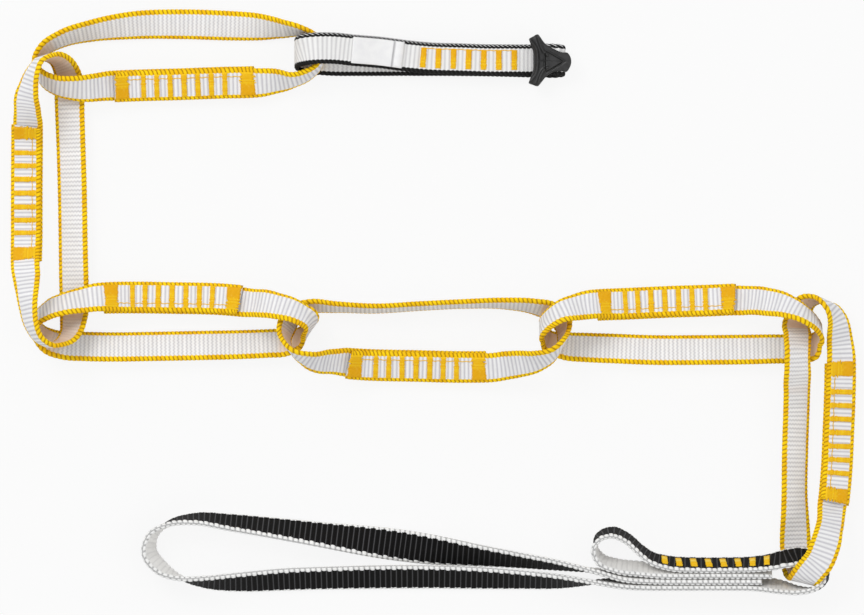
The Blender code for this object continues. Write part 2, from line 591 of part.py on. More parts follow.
def add_keeper(carrier):
    """Rubber collar round both strands, with a tongue over the eye and a raised bare pad."""
    height = keeper_height()
    outline = [plan_metres(x, y) for x, y in KEEPER_OUTLINE_PIXELS]
    x_left, _ = plan_metres(KEEPER_OUTLINE_PIXELS[0][0], 0)
    x_back, _ = plan_metres(KEEPER_COLLAR_END_PIXELS, 0)
    x_nose = max(x for x, y in outline)
    _, y_middle = plan_metres(0, KEEPER_MIDDLE_PIXELS)
    bore_top = height - KEEPER_ROOF_THICKNESS
    tongue_low = height - KEEPER_TONGUE_THICKNESS
    overrun = height
    half_bore = WEBBING_WIDTH / 2 + KEEPER_SIDE_CLEARANCE
    body = prism("carabiner_keeper", outline[::-1], 0, height)
    round_top(body, height)
    bore = prism("bore", box_outline(x_left - overrun, x_back + overrun, y_middle - half_bore,
                                     y_middle + half_bore), KEEPER_FLOOR, bore_top)
    combined(body, bore, "DIFFERENCE")
    under = prism("under_tongue", box_outline(x_back, x_nose + overrun, y_middle - 2 * overrun,
                                              y_middle + 2 * overrun), -overrun, tongue_low)
    combined(body, under, "DIFFERENCE")
    pad_top = height + KEEPER_PAD_HEIGHT
    pad = prism("pad", rounded_triangle(plan_metres(*KEEPER_PAD_PIXELS), KEEPER_PAD_RADIUS,
                                        KEEPER_PAD_CORNER_RADIUS, KEEPER_PAD_CORNER_STEPS),
                (tongue_low + height) / 2, pad_top)
    round_top(pad, pad_top)
    combined(body, pad, "UNION")
    place = Vector((x_left, y_middle, (KEEPER_FLOOR + bore_top) / 2))
    settled(body, "black_rubber", (pivot_empty("carabiner_keeper_slide", place, carrier), place))


def pivot_empty(name, place, carrier):
    """Empty on a joint's axis, which follows the empty of the link that carries it."""
    empty = bpy.data.objects.new(name, None)
    empty.location = place
    if carrier:
        empty.parent, carrier_place = carrier
        empty.location = place - carrier_place
    bpy.context.scene.collection.objects.link(empty)
    return empty


def add_pivots():
    """Empty and place of each link's pivot, every link on the one that it turns on."""
    pivots = {None: None}
    for name, (pixels, carrier) in PIVOT_PIXELS.items():
        place = Vector((*plan_metres(*pixels), 0))
        pivots[name] = (pivot_empty(name + "_pivot", place, pivots[carrier]), place)
    return pivots


def main():
    clear_scene()
    pivots = add_pivots()
    for name in RING_ROUTES:
        add_ring(name, pivots[name])
    add_clip_loop(pivots["clip_loop"])
    add_keeper(pivots["clip_loop"])
    add_harness_sling(pivots["harness_sling"])


main()
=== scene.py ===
# %% [markdown]
# # A climbing daisy chain, laid out flat
#
# The real object is six rings of sewn webbing, linked through one another, with a clip loop
# and its rubber keeper at one end and a harness sling at the other. The imported CAD model
# gives the size and the motion of every piece. This file gives their looks: each band is
# woven again here as a fine mesh, with real ribs, beaded edges and rows of stitches.

# %% The frame: the imported CAD model, and helpers that hang pieces on its bodies
import math

import bpy
import numpy as np
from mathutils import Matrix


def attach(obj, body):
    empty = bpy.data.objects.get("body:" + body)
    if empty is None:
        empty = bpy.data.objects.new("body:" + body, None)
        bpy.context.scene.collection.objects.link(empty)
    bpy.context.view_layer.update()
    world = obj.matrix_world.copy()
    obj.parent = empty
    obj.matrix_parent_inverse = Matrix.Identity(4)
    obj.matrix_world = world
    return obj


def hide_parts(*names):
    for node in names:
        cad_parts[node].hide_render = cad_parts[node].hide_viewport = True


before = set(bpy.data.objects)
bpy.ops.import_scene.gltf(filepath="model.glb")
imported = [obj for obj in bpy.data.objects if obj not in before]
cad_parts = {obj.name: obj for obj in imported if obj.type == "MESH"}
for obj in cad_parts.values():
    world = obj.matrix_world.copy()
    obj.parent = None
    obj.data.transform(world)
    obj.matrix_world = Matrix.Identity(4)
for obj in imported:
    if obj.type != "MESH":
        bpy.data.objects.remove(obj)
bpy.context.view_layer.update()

# %% [markdown]
# ## Reading places from the photograph
#
# The photograph looks straight down, so a place in it is a place on the table once a pixel
# has a size. The rings repeat every 256 pixels, and such a chain has a ring every 105 mm.
# The CAD model uses the same two numbers, so a route that is read here lands on its solid.

# %% From pixels to metres
RING_PITCH = 0.105
RING_PITCH_PIXELS = 256
PIXEL = RING_PITCH / RING_PITCH_PIXELS
PHOTO_CENTRE_PIXELS = (433.37, 301.96)
IMAGE_PIXELS = (864, 615)
MM = 0.001


def on_table(across, down):
    """Photo pixels to metres in plan, with the photo's up along +Y."""
    centre_across, centre_down = PHOTO_CENTRE_PIXELS
    return (across - centre_across) * PIXEL, (centre_down - down) * PIXEL


print("one pixel is", round(PIXEL / MM, 3), "mm")

# %% [markdown]
# ## The camera
#
# A copy stand holds the camera far above the table. A long lens from far away sees the tall
# edges of the webbing almost without perspective, as the photograph does.

# %% A long lens, straight down
LENS_MM = 600
SENSOR_MM = 36
SHARP_LEVEL = 0.008
view_width = IMAGE_PIXELS[0] * PIXEL
camera_data = bpy.data.cameras.new("copy_stand_camera")
camera_data.lens = LENS_MM
camera_data.sensor_width = SENSOR_MM
camera_data.clip_end = 50
camera = bpy.data.objects.new("copy_stand_camera", camera_data)
camera_height = SHARP_LEVEL + view_width * LENS_MM / SENSOR_MM
camera.location = (*on_table(IMAGE_PIXELS[0] / 2, IMAGE_PIXELS[1] / 2), camera_height)
bpy.context.scene.collection.objects.link(camera)
bpy.context.scene.camera = camera
print("camera height in m:", round(camera_height, 2))

# %% [markdown]
# ## Light and table
#
# The photograph has even, soft light and a table that is nearly white. Soft light from all
# round comes from the world, as in a light tent. One large lamp makes the upper left a little
# brighter, and a weaker one lifts the shadows on the right. The white of the table doesn't
# come from more light: the camera sees it partly glow.

# %% The light tent
AMBIENT = 0.76
TABLE_WHITE = 0.975
scene = bpy.context.scene
scene.view_settings.view_transform = "Standard"
world = bpy.data.worlds.new("light_tent")
world.use_nodes = True
scene.world = world
background = world.node_tree.nodes["Background"]
background.inputs["Color"].default_value = (1.0, 1.0, 1.0, 1.0)
light_path = world.node_tree.nodes.new("ShaderNodeLightPath")
strength = world.node_tree.nodes.new("ShaderNodeMapRange")
strength.inputs["To Min"].default_value = AMBIENT
strength.inputs["To Max"].default_value = TABLE_WHITE
world.node_tree.links.new(light_path.outputs["Is Camera Ray"], strength.inputs["Value"])
world.node_tree.links.new(strength.outputs["Result"], background.inputs["Strength"])
print("light from all round:", AMBIENT, "and", TABLE_WHITE, "where the camera sees the tent")

# %% Two soft lamps
# Place in metres, side in metres and power in watts
LAMPS = {
    "upper_left_softbox": ((-0.75, 0.85, 1.35), 0.8, 11),
    "right_fill": ((1.2, -0.5, 1.1), 1.0, 3),
}


def soft_lamp(name, place, side, power):
    """Square area lamp that points at the middle of the chain."""
    data = bpy.data.lights.new(name, "AREA")
    data.size, data.energy = side, power
    lamp = bpy.data.objects.new(name, data)
    lamp.location = place
    lamp.rotation_euler = (-lamp.location).to_track_quat("-Z", "Y").to_euler()
    scene.collection.objects.link(lamp)


for name, (place, side, power) in LAMPS.items():
    soft_lamp(name, place, side, power)
print("lamps:", list(LAMPS))

# %% [markdown]
# ## Small helpers for shader nodes
#
# A pattern is a sum in the end: where is this point along the band, and how far from its
# edge? Short functions keep such sums readable. One puts a number or another node on a
# socket, one adds a Math node, and one is a smooth step, which turns a sum into a mask.

# %% Helpers for sums


def feed(tree, target, value):
    """Puts a number, a colour or another node's output on a socket."""
    if isinstance(value, bpy.types.NodeSocket):
        tree.links.new(value, target)
    else:
        target.default_value = value


def maths(tree, operation, *values):
    """Output of a new Math node."""
    node = tree.nodes.new("ShaderNodeMath")
    node.operation = operation
    for target, value in zip(node.inputs, values):
        feed(tree, target, value)
    return node.outputs["Value"]


def ramp(tree, value, low, high, to_low=0.0, to_high=1.0):
    """Smooth step of a value between two limits."""
    node = tree.nodes.new("ShaderNodeMapRange")
    node.interpolation_type = "SMOOTHSTEP"
    for name, number in zip(("Value", "From Min", "From Max", "To Min", "To Max"),
                            (value, low, high, to_low, to_high)):
        feed(tree, node.inputs[name], number)
    return node.outputs["Result"]


print("sums and masks are ready: feed, maths and ramp")

# %% Helpers for colour and texture


def blended(tree, factor, first, second, blend_type="MIX"):
    """Colour between two colours."""
    node = tree.nodes.new("ShaderNodeMix")
    node.data_type, node.blend_type = "RGBA", blend_type
    feed(tree, node.inputs[0], factor)
    feed(tree, node.inputs[6], first)
    feed(tree, node.inputs[7], second)
    return node.outputs[2]


def noise(tree, place, scale, detail=2.0):
    """Soft noise at a scale given in spots per unit of the place."""
    node = tree.nodes.new("ShaderNodeTexNoise")
    feed(tree, node.inputs["Vector"], place)
    node.inputs["Scale"].default_value = scale
    node.inputs["Detail"].default_value = detail
    return node.outputs["Fac"]


def split_place(tree, place):
    """The three parts of a place, as separate values."""
    node = tree.nodes.new("ShaderNodeSeparateXYZ")
    tree.links.new(place, node.inputs[0])
    return node.outputs["X"], node.outputs["Y"], node.outputs["Z"]


def random_shade(tree, number):
    """A value from nothing to one that is different for every whole number."""
    node = tree.nodes.new("ShaderNodeTexWhiteNoise")
    node.noise_dimensions = "1D"
    tree.links.new(number, node.inputs["W"])
    return node.outputs["Value"]


print("colour helpers ready")

# %% [markdown]
# A pattern that several materials use is a node group: a box with named inputs and outputs.
# It is built once, and each material places it with its own values.

# %% Helpers for groups and materials
FLOAT, VECTOR = "NodeSocketFloat", "NodeSocketVector"


def new_group(name, vectors, numbers):
    """Empty shader node group with named inputs, and the outputs of its input node."""
    tree = bpy.data.node_groups.new(name, "ShaderNodeTree")
    for labels, kind in ((vectors, VECTOR), (numbers, FLOAT)):
        for label in labels:
            tree.interface.new_socket(label, in_out="INPUT", socket_type=kind)
    return tree, tree.nodes.new("NodeGroupInput").outputs


def finish_group(tree, outputs):
    """Gives a group its named outputs, which are all masks or other values."""
    for label in outputs:
        tree.interface.new_socket(label, in_out="OUTPUT", socket_type=FLOAT)
    leave = tree.nodes.new("NodeGroupOutput")
    for label, value in outputs.items():
        tree.links.new(value, leave.inputs[label])
    print("node group:", tree.name, "with", len(tree.nodes), "nodes")


def placed_group(tree, group, values):
    """Group node in a material, with its own values on its inputs."""
    node = tree.nodes.new("ShaderNodeGroup")
    node.node_tree = group
    for label, value in values.items():
        feed(tree, node.inputs[label], value)
    return node.outputs


def new_material(name, roughness, sheen=0.0, specular=0.5):
    """Material with a Principled shader, its node tree and that shader."""
    material = bpy.data.materials.new(name)
    material.use_nodes = True
    shader = material.node_tree.nodes["Principled BSDF"]
    shader.inputs["Roughness"].default_value = roughness
    shader.inputs["Sheen Weight"].default_value = sheen
    shader.inputs["Specular IOR Level"].default_value = specular
    return material, material.node_tree, shader


def add_bump(tree, shader, height, distance, strength):
    """Bump on a shader, its height in metres at a height value of one."""
    node = tree.nodes.new("ShaderNodeBump")
    node.inputs["Strength"].default_value = strength
    node.inputs["Distance"].default_value = distance
    feed(tree, node.inputs["Height"], height)
    tree.links.new(node.outputs["Normal"], shader.inputs["Normal"])


def band_place(tree):
    """Where a point is on a band: millimetres along it and round its section."""
    node = tree.nodes.new("ShaderNodeUVMap")
    node.uv_map = "band"
    return node.outputs["UV"]


print("group and material helpers ready")

# %% [markdown]
# ## The table top
#
# It is a plain matt sheet that takes the chain's shadow. Camera, mirror and glass rays see a
# mix of that sheet and a plain glow, so the table is nearly white and the shadow stays faint.

# %% A large flat sheet
TABLE_SIZE = 6.0
TABLE_DROP = 0.00015
half_table = TABLE_SIZE / 2
corner_ways = ((-1, -1), (1, -1), (1, 1), (-1, 1))
table_corners = [(x * half_table, y * half_table, -TABLE_DROP) for x, y in corner_ways]
table_mesh = bpy.data.meshes.new("table_top")
table_mesh.from_pydata(table_corners, [], [(0, 1, 2, 3)])
table_top = bpy.data.objects.new("table_top", table_mesh)
bpy.context.scene.collection.objects.link(table_top)
print("table top:", TABLE_SIZE, "m square")

# %% A white that keeps the shadow
GLOW_SHARE = 0.90
SHEET_WHITES = ((0.80, 0.80, 0.80, 1), (0.84, 0.84, 0.84, 1))
SHEET_ROUGHNESS = 0.9
SHEET_GRAINS_PER_METRE = 900.0
material, tree, shader = new_material("white_sheet", SHEET_ROUGHNESS)
grain = noise(tree, tree.nodes.new("ShaderNodeTexCoord").outputs["Object"], SHEET_GRAINS_PER_METRE)
tree.links.new(blended(tree, grain, *SHEET_WHITES), shader.inputs["Base Color"])
glow = tree.nodes.new("ShaderNodeEmission")
glow.inputs["Color"].default_value = (TABLE_WHITE, TABLE_WHITE, TABLE_WHITE, 1)
light_path = tree.nodes.new("ShaderNodeLightPath")
seen = maths(tree, "MAXIMUM", light_path.outputs["Is Camera Ray"],
             maths(tree, "MAXIMUM", light_path.outputs["Is Glossy Ray"],
                   light_path.outputs["Is Transmission Ray"]))
mix = tree.nodes.new("ShaderNodeMixShader")
feed(tree, mix.inputs[0], maths(tree, "MULTIPLY", seen, GLOW_SHARE))
tree.links.new(shader.outputs["BSDF"], mix.inputs[1])
tree.links.new(glow.outputs["Emission"], mix.inputs[2])
tree.links.new(mix.outputs["Shader"], tree.nodes["Material Output"].inputs["Surface"])
table_mesh.materials.append(material)
print("the camera sees", GLOW_SHARE, "glow and the rest sheet")

# %% [markdown]
# ## The path of a band
#
# Webbing is a ribbon, so a band needs more than a middle line. At each point it needs the
# direction of travel, the direction across the ribbon and the direction that its face looks.
# Each route below is a few rows read from the photograph: pixel across, pixel down, the level
# of the low edge as a share of the width, and how far the ribbon leans from upright. A smooth
# curve runs through the rows. Cloth simulation could fold a ribbon too, but it wouldn't end
# up lying where the photograph shows it.

# %% Smooth curve through rows
ROUTE_STEPS = 14


def unit(vectors):
    return vectors / np.linalg.norm(vectors, axis=1, keepdims=True)


def smooth_route(rows, closed):
    """Hermite curve through the rows, its slopes weighted by the lengths of both spans."""
    rows = np.array(rows, float)
    after, before = np.roll(rows, -1, 0), np.roll(rows, 1, 0)
    span = np.linalg.norm((after - rows)[:, :3], axis=1)[:, None]
    span_before = np.roll(span, 1, 0)
    slopes = (after - rows) / span * span_before + (rows - before) / span_before * span
    slopes = slopes / (span + span_before)
    if not closed:
        slopes[0] = (rows[1] - rows[0]) / span[0]
        slopes[-1] = (rows[-1] - rows[-2]) / span[-2]
    u = (np.arange(ROUTE_STEPS) / ROUTE_STEPS)[None, :, None]
    start, end = rows[:, None], after[:, None]
    leave, arrive = (slopes * span)[:, None], (np.roll(slopes, -1, 0) * span)[:, None]
    points = ((2 * u**3 - 3 * u**2 + 1) * start + (u**3 - 2 * u**2 + u) * leave
              + (3 * u**2 - 2 * u**3) * end + (u**3 - u**2) * arrive)
    if closed:
        return points.reshape(-1, rows.shape[1])
    return np.concatenate([points[:-1].reshape(-1, rows.shape[1]), rows[-1:]])


print("points between two rows:", ROUTE_STEPS)

# %% The path, with its three directions


class Path:
    """Middle line of a band, with its travel, across and face directions at each point."""

    def __init__(self, middle, travel, across, face, arc=None):
        self.middle, self.travel, self.across, self.face = middle, travel, across, face
        steps = np.linalg.norm(np.diff(middle, axis=0), axis=1)
        self.arc = np.concatenate([[0], np.cumsum(steps)]) if arc is None else arc

    def at(self, arcs):
        """The same path at other distances along it."""
        def pick(values):
            return np.stack([np.interp(arcs, self.arc, values[:, k]) for k in range(3)], 1)
        return Path(pick(self.middle), unit(pick(self.travel)), unit(pick(self.across)),
                    unit(pick(self.face)), np.asarray(arcs))

    def shifted(self, offset):
        """The path moved along its face direction, which keeps its distances."""
        offsets = np.broadcast_to(offset, len(self.middle))[:, None]
        return Path(self.middle + offsets * self.face, self.travel, self.across, self.face, self.arc)

    def turned(self):
        """The path with its faces swapped."""
        return Path(self.middle, self.travel, -self.across, -self.face, self.arc)

    def nearest(self, across, down, height):
        """Distance along the path of the point nearest to a place."""
        place = np.array([*on_table(across, down), height])
        return self.arc[np.argmin(np.linalg.norm(self.middle - place, axis=1))]


print("a path keeps its middle, travel, across and face")

# %% Paths from rows


def framed(middle, across_guess, closed):
    """Path from its middle line, with across and face made square to the travel."""
    if closed:
        travel = unit(np.roll(middle, -1, 0) - np.roll(middle, 1, 0))
    else:
        travel = unit(np.gradient(middle, axis=0))
    across = unit(across_guess - (across_guess * travel).sum(1, keepdims=True) * travel)
    return Path(middle, travel, across, np.cross(travel, across))


def leaning_path(rows, width, thickness, closed, extra_thickness=0.0):
    """Path of a band that leans: across is its high edge and face its outer side."""
    points = smooth_route([(*on_table(x, y), level * width, math.radians(lean))
                           for x, y, level, lean in rows], closed)
    plan, lean = points[:, :2], points[:, 3]
    if closed:
        travel = unit(np.roll(plan, -1, 0) - np.roll(plan, 1, 0))
    else:
        travel = unit(np.gradient(plan, axis=0))
    across = np.stack([-np.sin(lean) * travel[:, 1], np.sin(lean) * travel[:, 0], np.cos(lean)], 1)
    height = points[:, 2] + width / 2 * np.abs(np.cos(lean))
    height += (thickness + extra_thickness) / 2 * np.abs(np.sin(lean))
    return framed(np.column_stack([plan, height]), across, closed)


print("path tools ready")

# %% [markdown]
# ## Weaving a band
#
# The webbing is a flat tube of ribs that run straight across, closed on both edges by a
# corded selvedge of slanted beads. An image of a weave would look flat from the side, so the
# ribs and beads are raised in the mesh itself: the section is carried along the path every
# few tenths of a millimetre, and each point is moved in or out by the same formula that the
# material uses later for the colour.

# %% Section of the webbing
SELVEDGE_POINTS = 6
FACE_POINTS = 6
CORD_POINTS = 49


def edge_profile(width, thickness, cord):
    """Half a section, from the middle of one face round an edge to the middle of the other.

    Gives the points (across, face) and their distance along the section.
    """
    half, side = width / 2, thickness / 2
    turn = np.linspace(-math.pi / 2, math.pi / 2, CORD_POINTS)
    rounding = np.column_stack([half - cord + cord * np.cos(turn), -side * np.sin(turn)])
    points = np.vstack([[0, side], rounding, [0, -side]])
    steps = np.linalg.norm(np.diff(points, axis=0), axis=1)
    return points, np.concatenate([[0], np.cumsum(steps)])


def band_section(width, thickness, cord, selvedge):
    """Points of the whole section, their outward normals and their distance round it."""
    profile, distance = edge_profile(width, thickness, cord)
    half_round = distance[-1]
    edge = half_round / 2
    spots = np.unique(np.concatenate([
        np.linspace(0, edge - selvedge, FACE_POINTS),
        np.linspace(edge - selvedge, edge + selvedge, 2 * SELVEDGE_POINTS + 1),
        np.linspace(edge + selvedge, half_round, FACE_POINTS)]))
    half = np.column_stack([np.interp(spots, distance, profile[:, k]) for k in range(2)])
    other = half[-2:0:-1] * (-1, 1)
    points = np.vstack([half, other])
    around = np.concatenate([spots, 2 * half_round - spots[-2:0:-1]])
    tangent = np.roll(points, -1, 0) - np.roll(points, 1, 0)
    normal = unit(np.column_stack([-tangent[:, 1], tangent[:, 0]]))
    return points, normal, around, 2 * half_round


print("points from face to face round an edge:", 2 * (FACE_POINTS + SELVEDGE_POINTS) - 1)

# %% [markdown]
# The ribs and the beads are both a row of round humps with a sharp gap between them. The gap
# is deepest at whole numbers of the phase. On the faces the phase runs along the band. On the
# selvedge it also moves with the distance round the edge, and that slants the beads as the
# strands of a cord are slanted.

# %% Humps and gaps
GAP_SHARPNESS = 1.5


def gap(phase):
    """One in the gap between two humps, and nothing on their tops."""
    return (1 - np.abs(np.sin(np.pi * phase))) ** GAP_SHARPNESS


def smooth_step(value, low, high):
    share = np.clip((value - low) / (high - low), 0, 1)
    return share * share * (3 - 2 * share)


print("gap and top of a hump:", gap(0), gap(0.5))

# %% Relief of the weave
BORDER_SOFTNESS = 0.25 * MM
ROW_GAP = 0.45 * MM
INNER_RIB_SHARE = 0.6
HALF_BEAD = 0.5
CORD_RADIUS = 1.2 * MM


class Weave:
    """Sizes of one kind of webbing, in metres except for the slant.

    Two rows of beads lie side by side on a thick selvedge, which may swell past the faces.
    The stagger is how much further every second rib reaches into the selvedge.
    """

    def __init__(self, width, thickness, pitch, rib_relief, selvedge, bead_relief, slant,
                 two_rows=False, stagger=0.0, swell=0.0):
        self.width, self.thickness, self.pitch = width, thickness, pitch
        self.rib_relief, self.bead_relief, self.slant = rib_relief, bead_relief, slant
        self.selvedge, self.two_rows, self.stagger, self.swell = selvedge, two_rows, stagger, swell

    def section(self):
        """Points of the section, their normals, their distance round it and its whole round."""
        return band_section(self.width, self.thickness, CORD_RADIUS, self.selvedge)

    def relief(self, along, around, round_length):
        """How far a point of the band lies inside its smooth section."""
        half = round_length / 2
        from_edge = np.mod(around, half) - half / 2
        rib_phase = along / self.pitch
        border = self.selvedge - self.stagger * np.mod(np.floor(rib_phase), 2)
        selvedge = 1 - smooth_step(np.abs(from_edge), border - BORDER_SOFTNESS, border + BORDER_SOFTNESS)
        inside = np.abs(around - half) < half / 2
        bead_phase = rib_phase + self.slant * from_edge / self.pitch
        ribs = self.rib_relief * gap(rib_phase) * np.where(inside, INNER_RIB_SHARE, 1.0)
        sink = gap(bead_phase)
        if self.two_rows:
            row_line = 1 - smooth_step(np.abs(from_edge), 0, ROW_GAP)
            sink = np.maximum(gap(bead_phase + HALF_BEAD * (from_edge > 0)), row_line)
        return ribs * (1 - selvedge) + (self.bead_relief * sink - self.swell) * selvedge


RING_WEAVE = Weave(width=13 * MM, thickness=2.1 * MM, pitch=1.75 * MM, rib_relief=0.12 * MM,
                   selvedge=2.55 * MM, bead_relief=0.27 * MM, slant=0.30)
print("rib pitch in mm:", RING_WEAVE.pitch / MM, "round in mm:", round(RING_WEAVE.section()[-1] / MM, 2))

# %% [markdown]
# A band's mesh is a tube: many rings of section points, one after the other, with a face
# between each two neighbours. Arrays make it in one go, which is far quicker than a loop over
# faces. Its UV map holds real millimetres, so a material knows where it is on the strip.

# %% A tube mesh from rows of points


def link(name, mesh):
    obj = bpy.data.objects.new(name, mesh)
    bpy.context.scene.collection.objects.link(obj)
    return obj


def grid_mesh(name, points, uvs, turn=None):
    """Closed tube mesh from rows of section points, with a UV value for every face corner.

    points is (rows, corners, 3). uvs is (rows, corners + 1, 2), and its last column is the
    first corner again, after once round. turn is a value for each row, kept as an attribute.
    """
    rows, corners = points.shape[:2]
    row, corner = np.meshgrid(np.arange(rows - 1), np.arange(corners), indexing="ij")
    after = (corner + 1) % corners
    quads = np.stack([row * corners + corner, row * corners + after,
                      (row + 1) * corners + after, (row + 1) * corners + corner], -1).reshape(-1, 4)
    quad_uvs = np.stack([uvs[row, corner], uvs[row, corner + 1],
                         uvs[row + 1, corner + 1], uvs[row + 1, corner]], 2).reshape(-1, 2)
    first, last = np.arange(corners)[::-1], np.arange(corners) + (rows - 1) * corners
    starts = np.concatenate([np.arange(len(quads)) * 4, [quads.size, quads.size + corners]])
    loops = np.concatenate([quads.ravel(), first, last])
    all_uvs = np.concatenate([quad_uvs, uvs[0, :-1][::-1], uvs[-1, :-1]])
    mesh = bpy.data.meshes.new(name)
    mesh.vertices.add(rows * corners)
    mesh.vertices.foreach_set("co", points.reshape(-1).astype(np.float32))
    mesh.loops.add(len(loops))
    mesh.loops.foreach_set("vertex_index", loops.astype(np.int32))
    mesh.polygons.add(len(starts))
    mesh.polygons.foreach_set("loop_start", starts.astype(np.int32))
    mesh.uv_layers.new(name="band")
    mesh.uv_layers["band"].uv.foreach_set("vector", all_uvs.astype(np.float32).ravel())
    mesh.update(calc_edges=True)
    mesh.validate()
    mesh.polygons.foreach_set("use_smooth", np.ones(len(mesh.polygons), bool))
    if turn is not None:
        mesh.attributes.new("turn", "FLOAT", "POINT")
        mesh.attributes["turn"].data.foreach_set("value", np.repeat(turn, corners).astype(np.float32))
    return mesh


print("tube meshes ready")

# %% [markdown]
# Two things depend on how the band lies. The ribs run square across the strip, but the
# photograph looks down on bands that lean and climb, so the ribs are sheared a little to look
# square from above. Where the strip turns tightly, the inside of the turn lies in shade and
# takes warm light from the yellow beads around it; that warm shade is painted into the colour,
# so each row keeps how tightly it turns.

# %% Slope of the ribs and turns of the band
LEAST_PLAN_SHARE = 0.3
MOST_RIB_SLOPE = 0.6
TURN_ROWS = 25
TURN_PER_MM = (0.025, 0.07)


def softened(values, steps):
    """Moving average of a row of values."""
    kernel = np.ones(steps) / steps
    return np.convolve(np.pad(values, steps, mode="edge"), kernel, "same")[steps:-steps]


def rib_slope(line):
    """How far the ribs slope along a band that climbs, so that they look square from above."""
    heading = line.travel[:, :2]
    plan_share = np.maximum((heading**2).sum(1), LEAST_PLAN_SHARE)
    slope = -(line.across[:, :2] * heading).sum(1) / plan_share
    lying = 1 - line.across[:, 2] ** 2
    return np.clip(slope * lying, -MOST_RIB_SLOPE, MOST_RIB_SLOPE)


def inward_turn(line):
    """One where a band turns tightly towards its inner face, and nothing where it is straight."""
    bend = np.gradient(line.travel, line.arc, axis=0)
    towards_inner = -(bend * line.face).sum(1) * MM
    return smooth_step(softened(towards_inner, TURN_ROWS), *TURN_PER_MM)


print("a turn shows from a radius of", round(1 / TURN_PER_MM[0]), "mm")

# %% Weave a band
SAMPLES_PER_RIB = 6
# The ribs are square to a cut end and reach their slope a little way in
SQUARE_END = (-1.5 * MM, 2 * MM)
# A cut end is melted shut, which pinches it
PINCH_LENGTH = 0.6 * MM
PINCHED_SHARE = 0.4


def woven_band(name, path, weave, trim=0.0):
    """Band with ribs and beads, woven along a path from end to end."""
    points, normals, around, round_length = weave.section()
    low, high = path.arc[0] + trim, path.arc[-1] - trim
    rows = int((high - low) / weave.pitch * SAMPLES_PER_RIB)
    along = np.linspace(low, high, rows)
    from_end = np.minimum(along - low, high - along)
    middle = path.at(along)
    slope = softened(rib_slope(middle), 4 * SAMPLES_PER_RIB) * smooth_step(from_end, *SQUARE_END)
    sink = weave.relief(along[:, None], around[None, :], round_length)
    open_share = np.sqrt(1 - (1 - np.clip(from_end / PINCH_LENGTH, 0, 1)) ** 2)
    pinch = PINCHED_SHARE + (1 - PINCHED_SHARE) * open_share
    flat = points[None] - sink[..., None] * normals[None]
    flat = flat * np.stack([np.ones(rows), pinch], 1)[:, None]
    line = path.at((along[:, None] + slope[:, None] * points[None, :, 0]).ravel())
    sideways, outward = (flat[..., k].reshape(-1, 1) for k in range(2))
    placed = line.middle + sideways * line.across + outward * line.face
    uvs = np.empty((rows, len(points) + 1, 2))
    uvs[..., 0] = along[:, None] / MM
    uvs[..., 1] = np.append(around, round_length)[None] / MM
    return link(name, grid_mesh(name, placed.reshape(rows, -1, 3), uvs, turn=inward_turn(middle)))


print("rows of points for each rib:", SAMPLES_PER_RIB)

# %% [markdown]
# ## Colour of the weave
#
# One node group works out the pattern for every kind of webbing: where the gaps between ribs
# and beads are, which part is selvedge, which face it is, and a fine yarn for the bump. The
# materials then only choose colours. The group reads millimetres along the band and round it
# from the UV map, so the pattern follows every bend and fold.

# %% Where a point is on the weave
woven, enter = new_group("woven_band", ["Band"], [
    "Pitch", "Round Length", "Selvedge Width", "Stagger", "Slant", "Two Rows", "Gap Sharpness",
    "Yarn Pitch"])


def calc(operation, *values):
    """Math node in the group of the woven bands."""
    return maths(woven, operation, *values)


along, around, _ = split_place(woven, enter["Band"])
half_round = calc("MULTIPLY", enter["Round Length"], 0.5)
quarter_round = calc("MULTIPLY", enter["Round Length"], 0.25)
signed = calc("SUBTRACT", calc("FLOORED_MODULO", around, half_round), quarter_round)
from_edge = calc("ABSOLUTE", signed)
inner = calc("LESS_THAN", calc("ABSOLUTE", calc("SUBTRACT", around, half_round)), quarter_round)
print("the group knows the edge and the inner face")

# %% Gaps between ribs and between beads
# The gaps of the inner face run in a zigzag, and their painted shade is a little paler
ZIGZAG_MM = 0.7
ZIGZAG_PITCHES_PER_MM = 0.34
INNER_PALER = 0.1
ROW_LINE_MM = 0.35


def gap_nodes(phase, sharpness):
    wave = calc("ABSOLUTE", calc("SINE", calc("MULTIPLY", phase, math.pi)))
    return calc("POWER", calc("SUBTRACT", 1.0, wave), sharpness)


zigzag = calc("MULTIPLY", calc("PINGPONG", around, ZIGZAG_MM),
              calc("MULTIPLY", inner, ZIGZAG_PITCHES_PER_MM))
ribs_along = calc("DIVIDE", along, enter["Pitch"])
rib_phase = calc("ADD", ribs_along, zigzag)
bead_lag = calc("DIVIDE", calc("MULTIPLY", signed, enter["Slant"]), enter["Pitch"])
bead_phase = calc("ADD", ribs_along, bead_lag)
rib_gap = calc("MULTIPLY", gap_nodes(rib_phase, enter["Gap Sharpness"]),
               calc("SUBTRACT", 1.0, calc("MULTIPLY", inner, INNER_PALER)))
second_row = calc("MULTIPLY", calc("GREATER_THAN", signed, 0.0), enter["Two Rows"])
row_phase = calc("ADD", bead_phase, calc("MULTIPLY", second_row, HALF_BEAD))
row_line = calc("MULTIPLY", ramp(woven, from_edge, ROW_LINE_MM, 0.0), enter["Two Rows"])
bead_gap = calc("MAXIMUM", gap_nodes(row_phase, GAP_SHARPNESS), row_line)
print("ribs and beads have their gaps")

# %% Border of the selvedge, and white flecks on its rim
# The border swings with the beads, and every second rib reaches a little further
BORDER_SWING_MM = 0.30
BORDER_BLUR_MM = 0.12
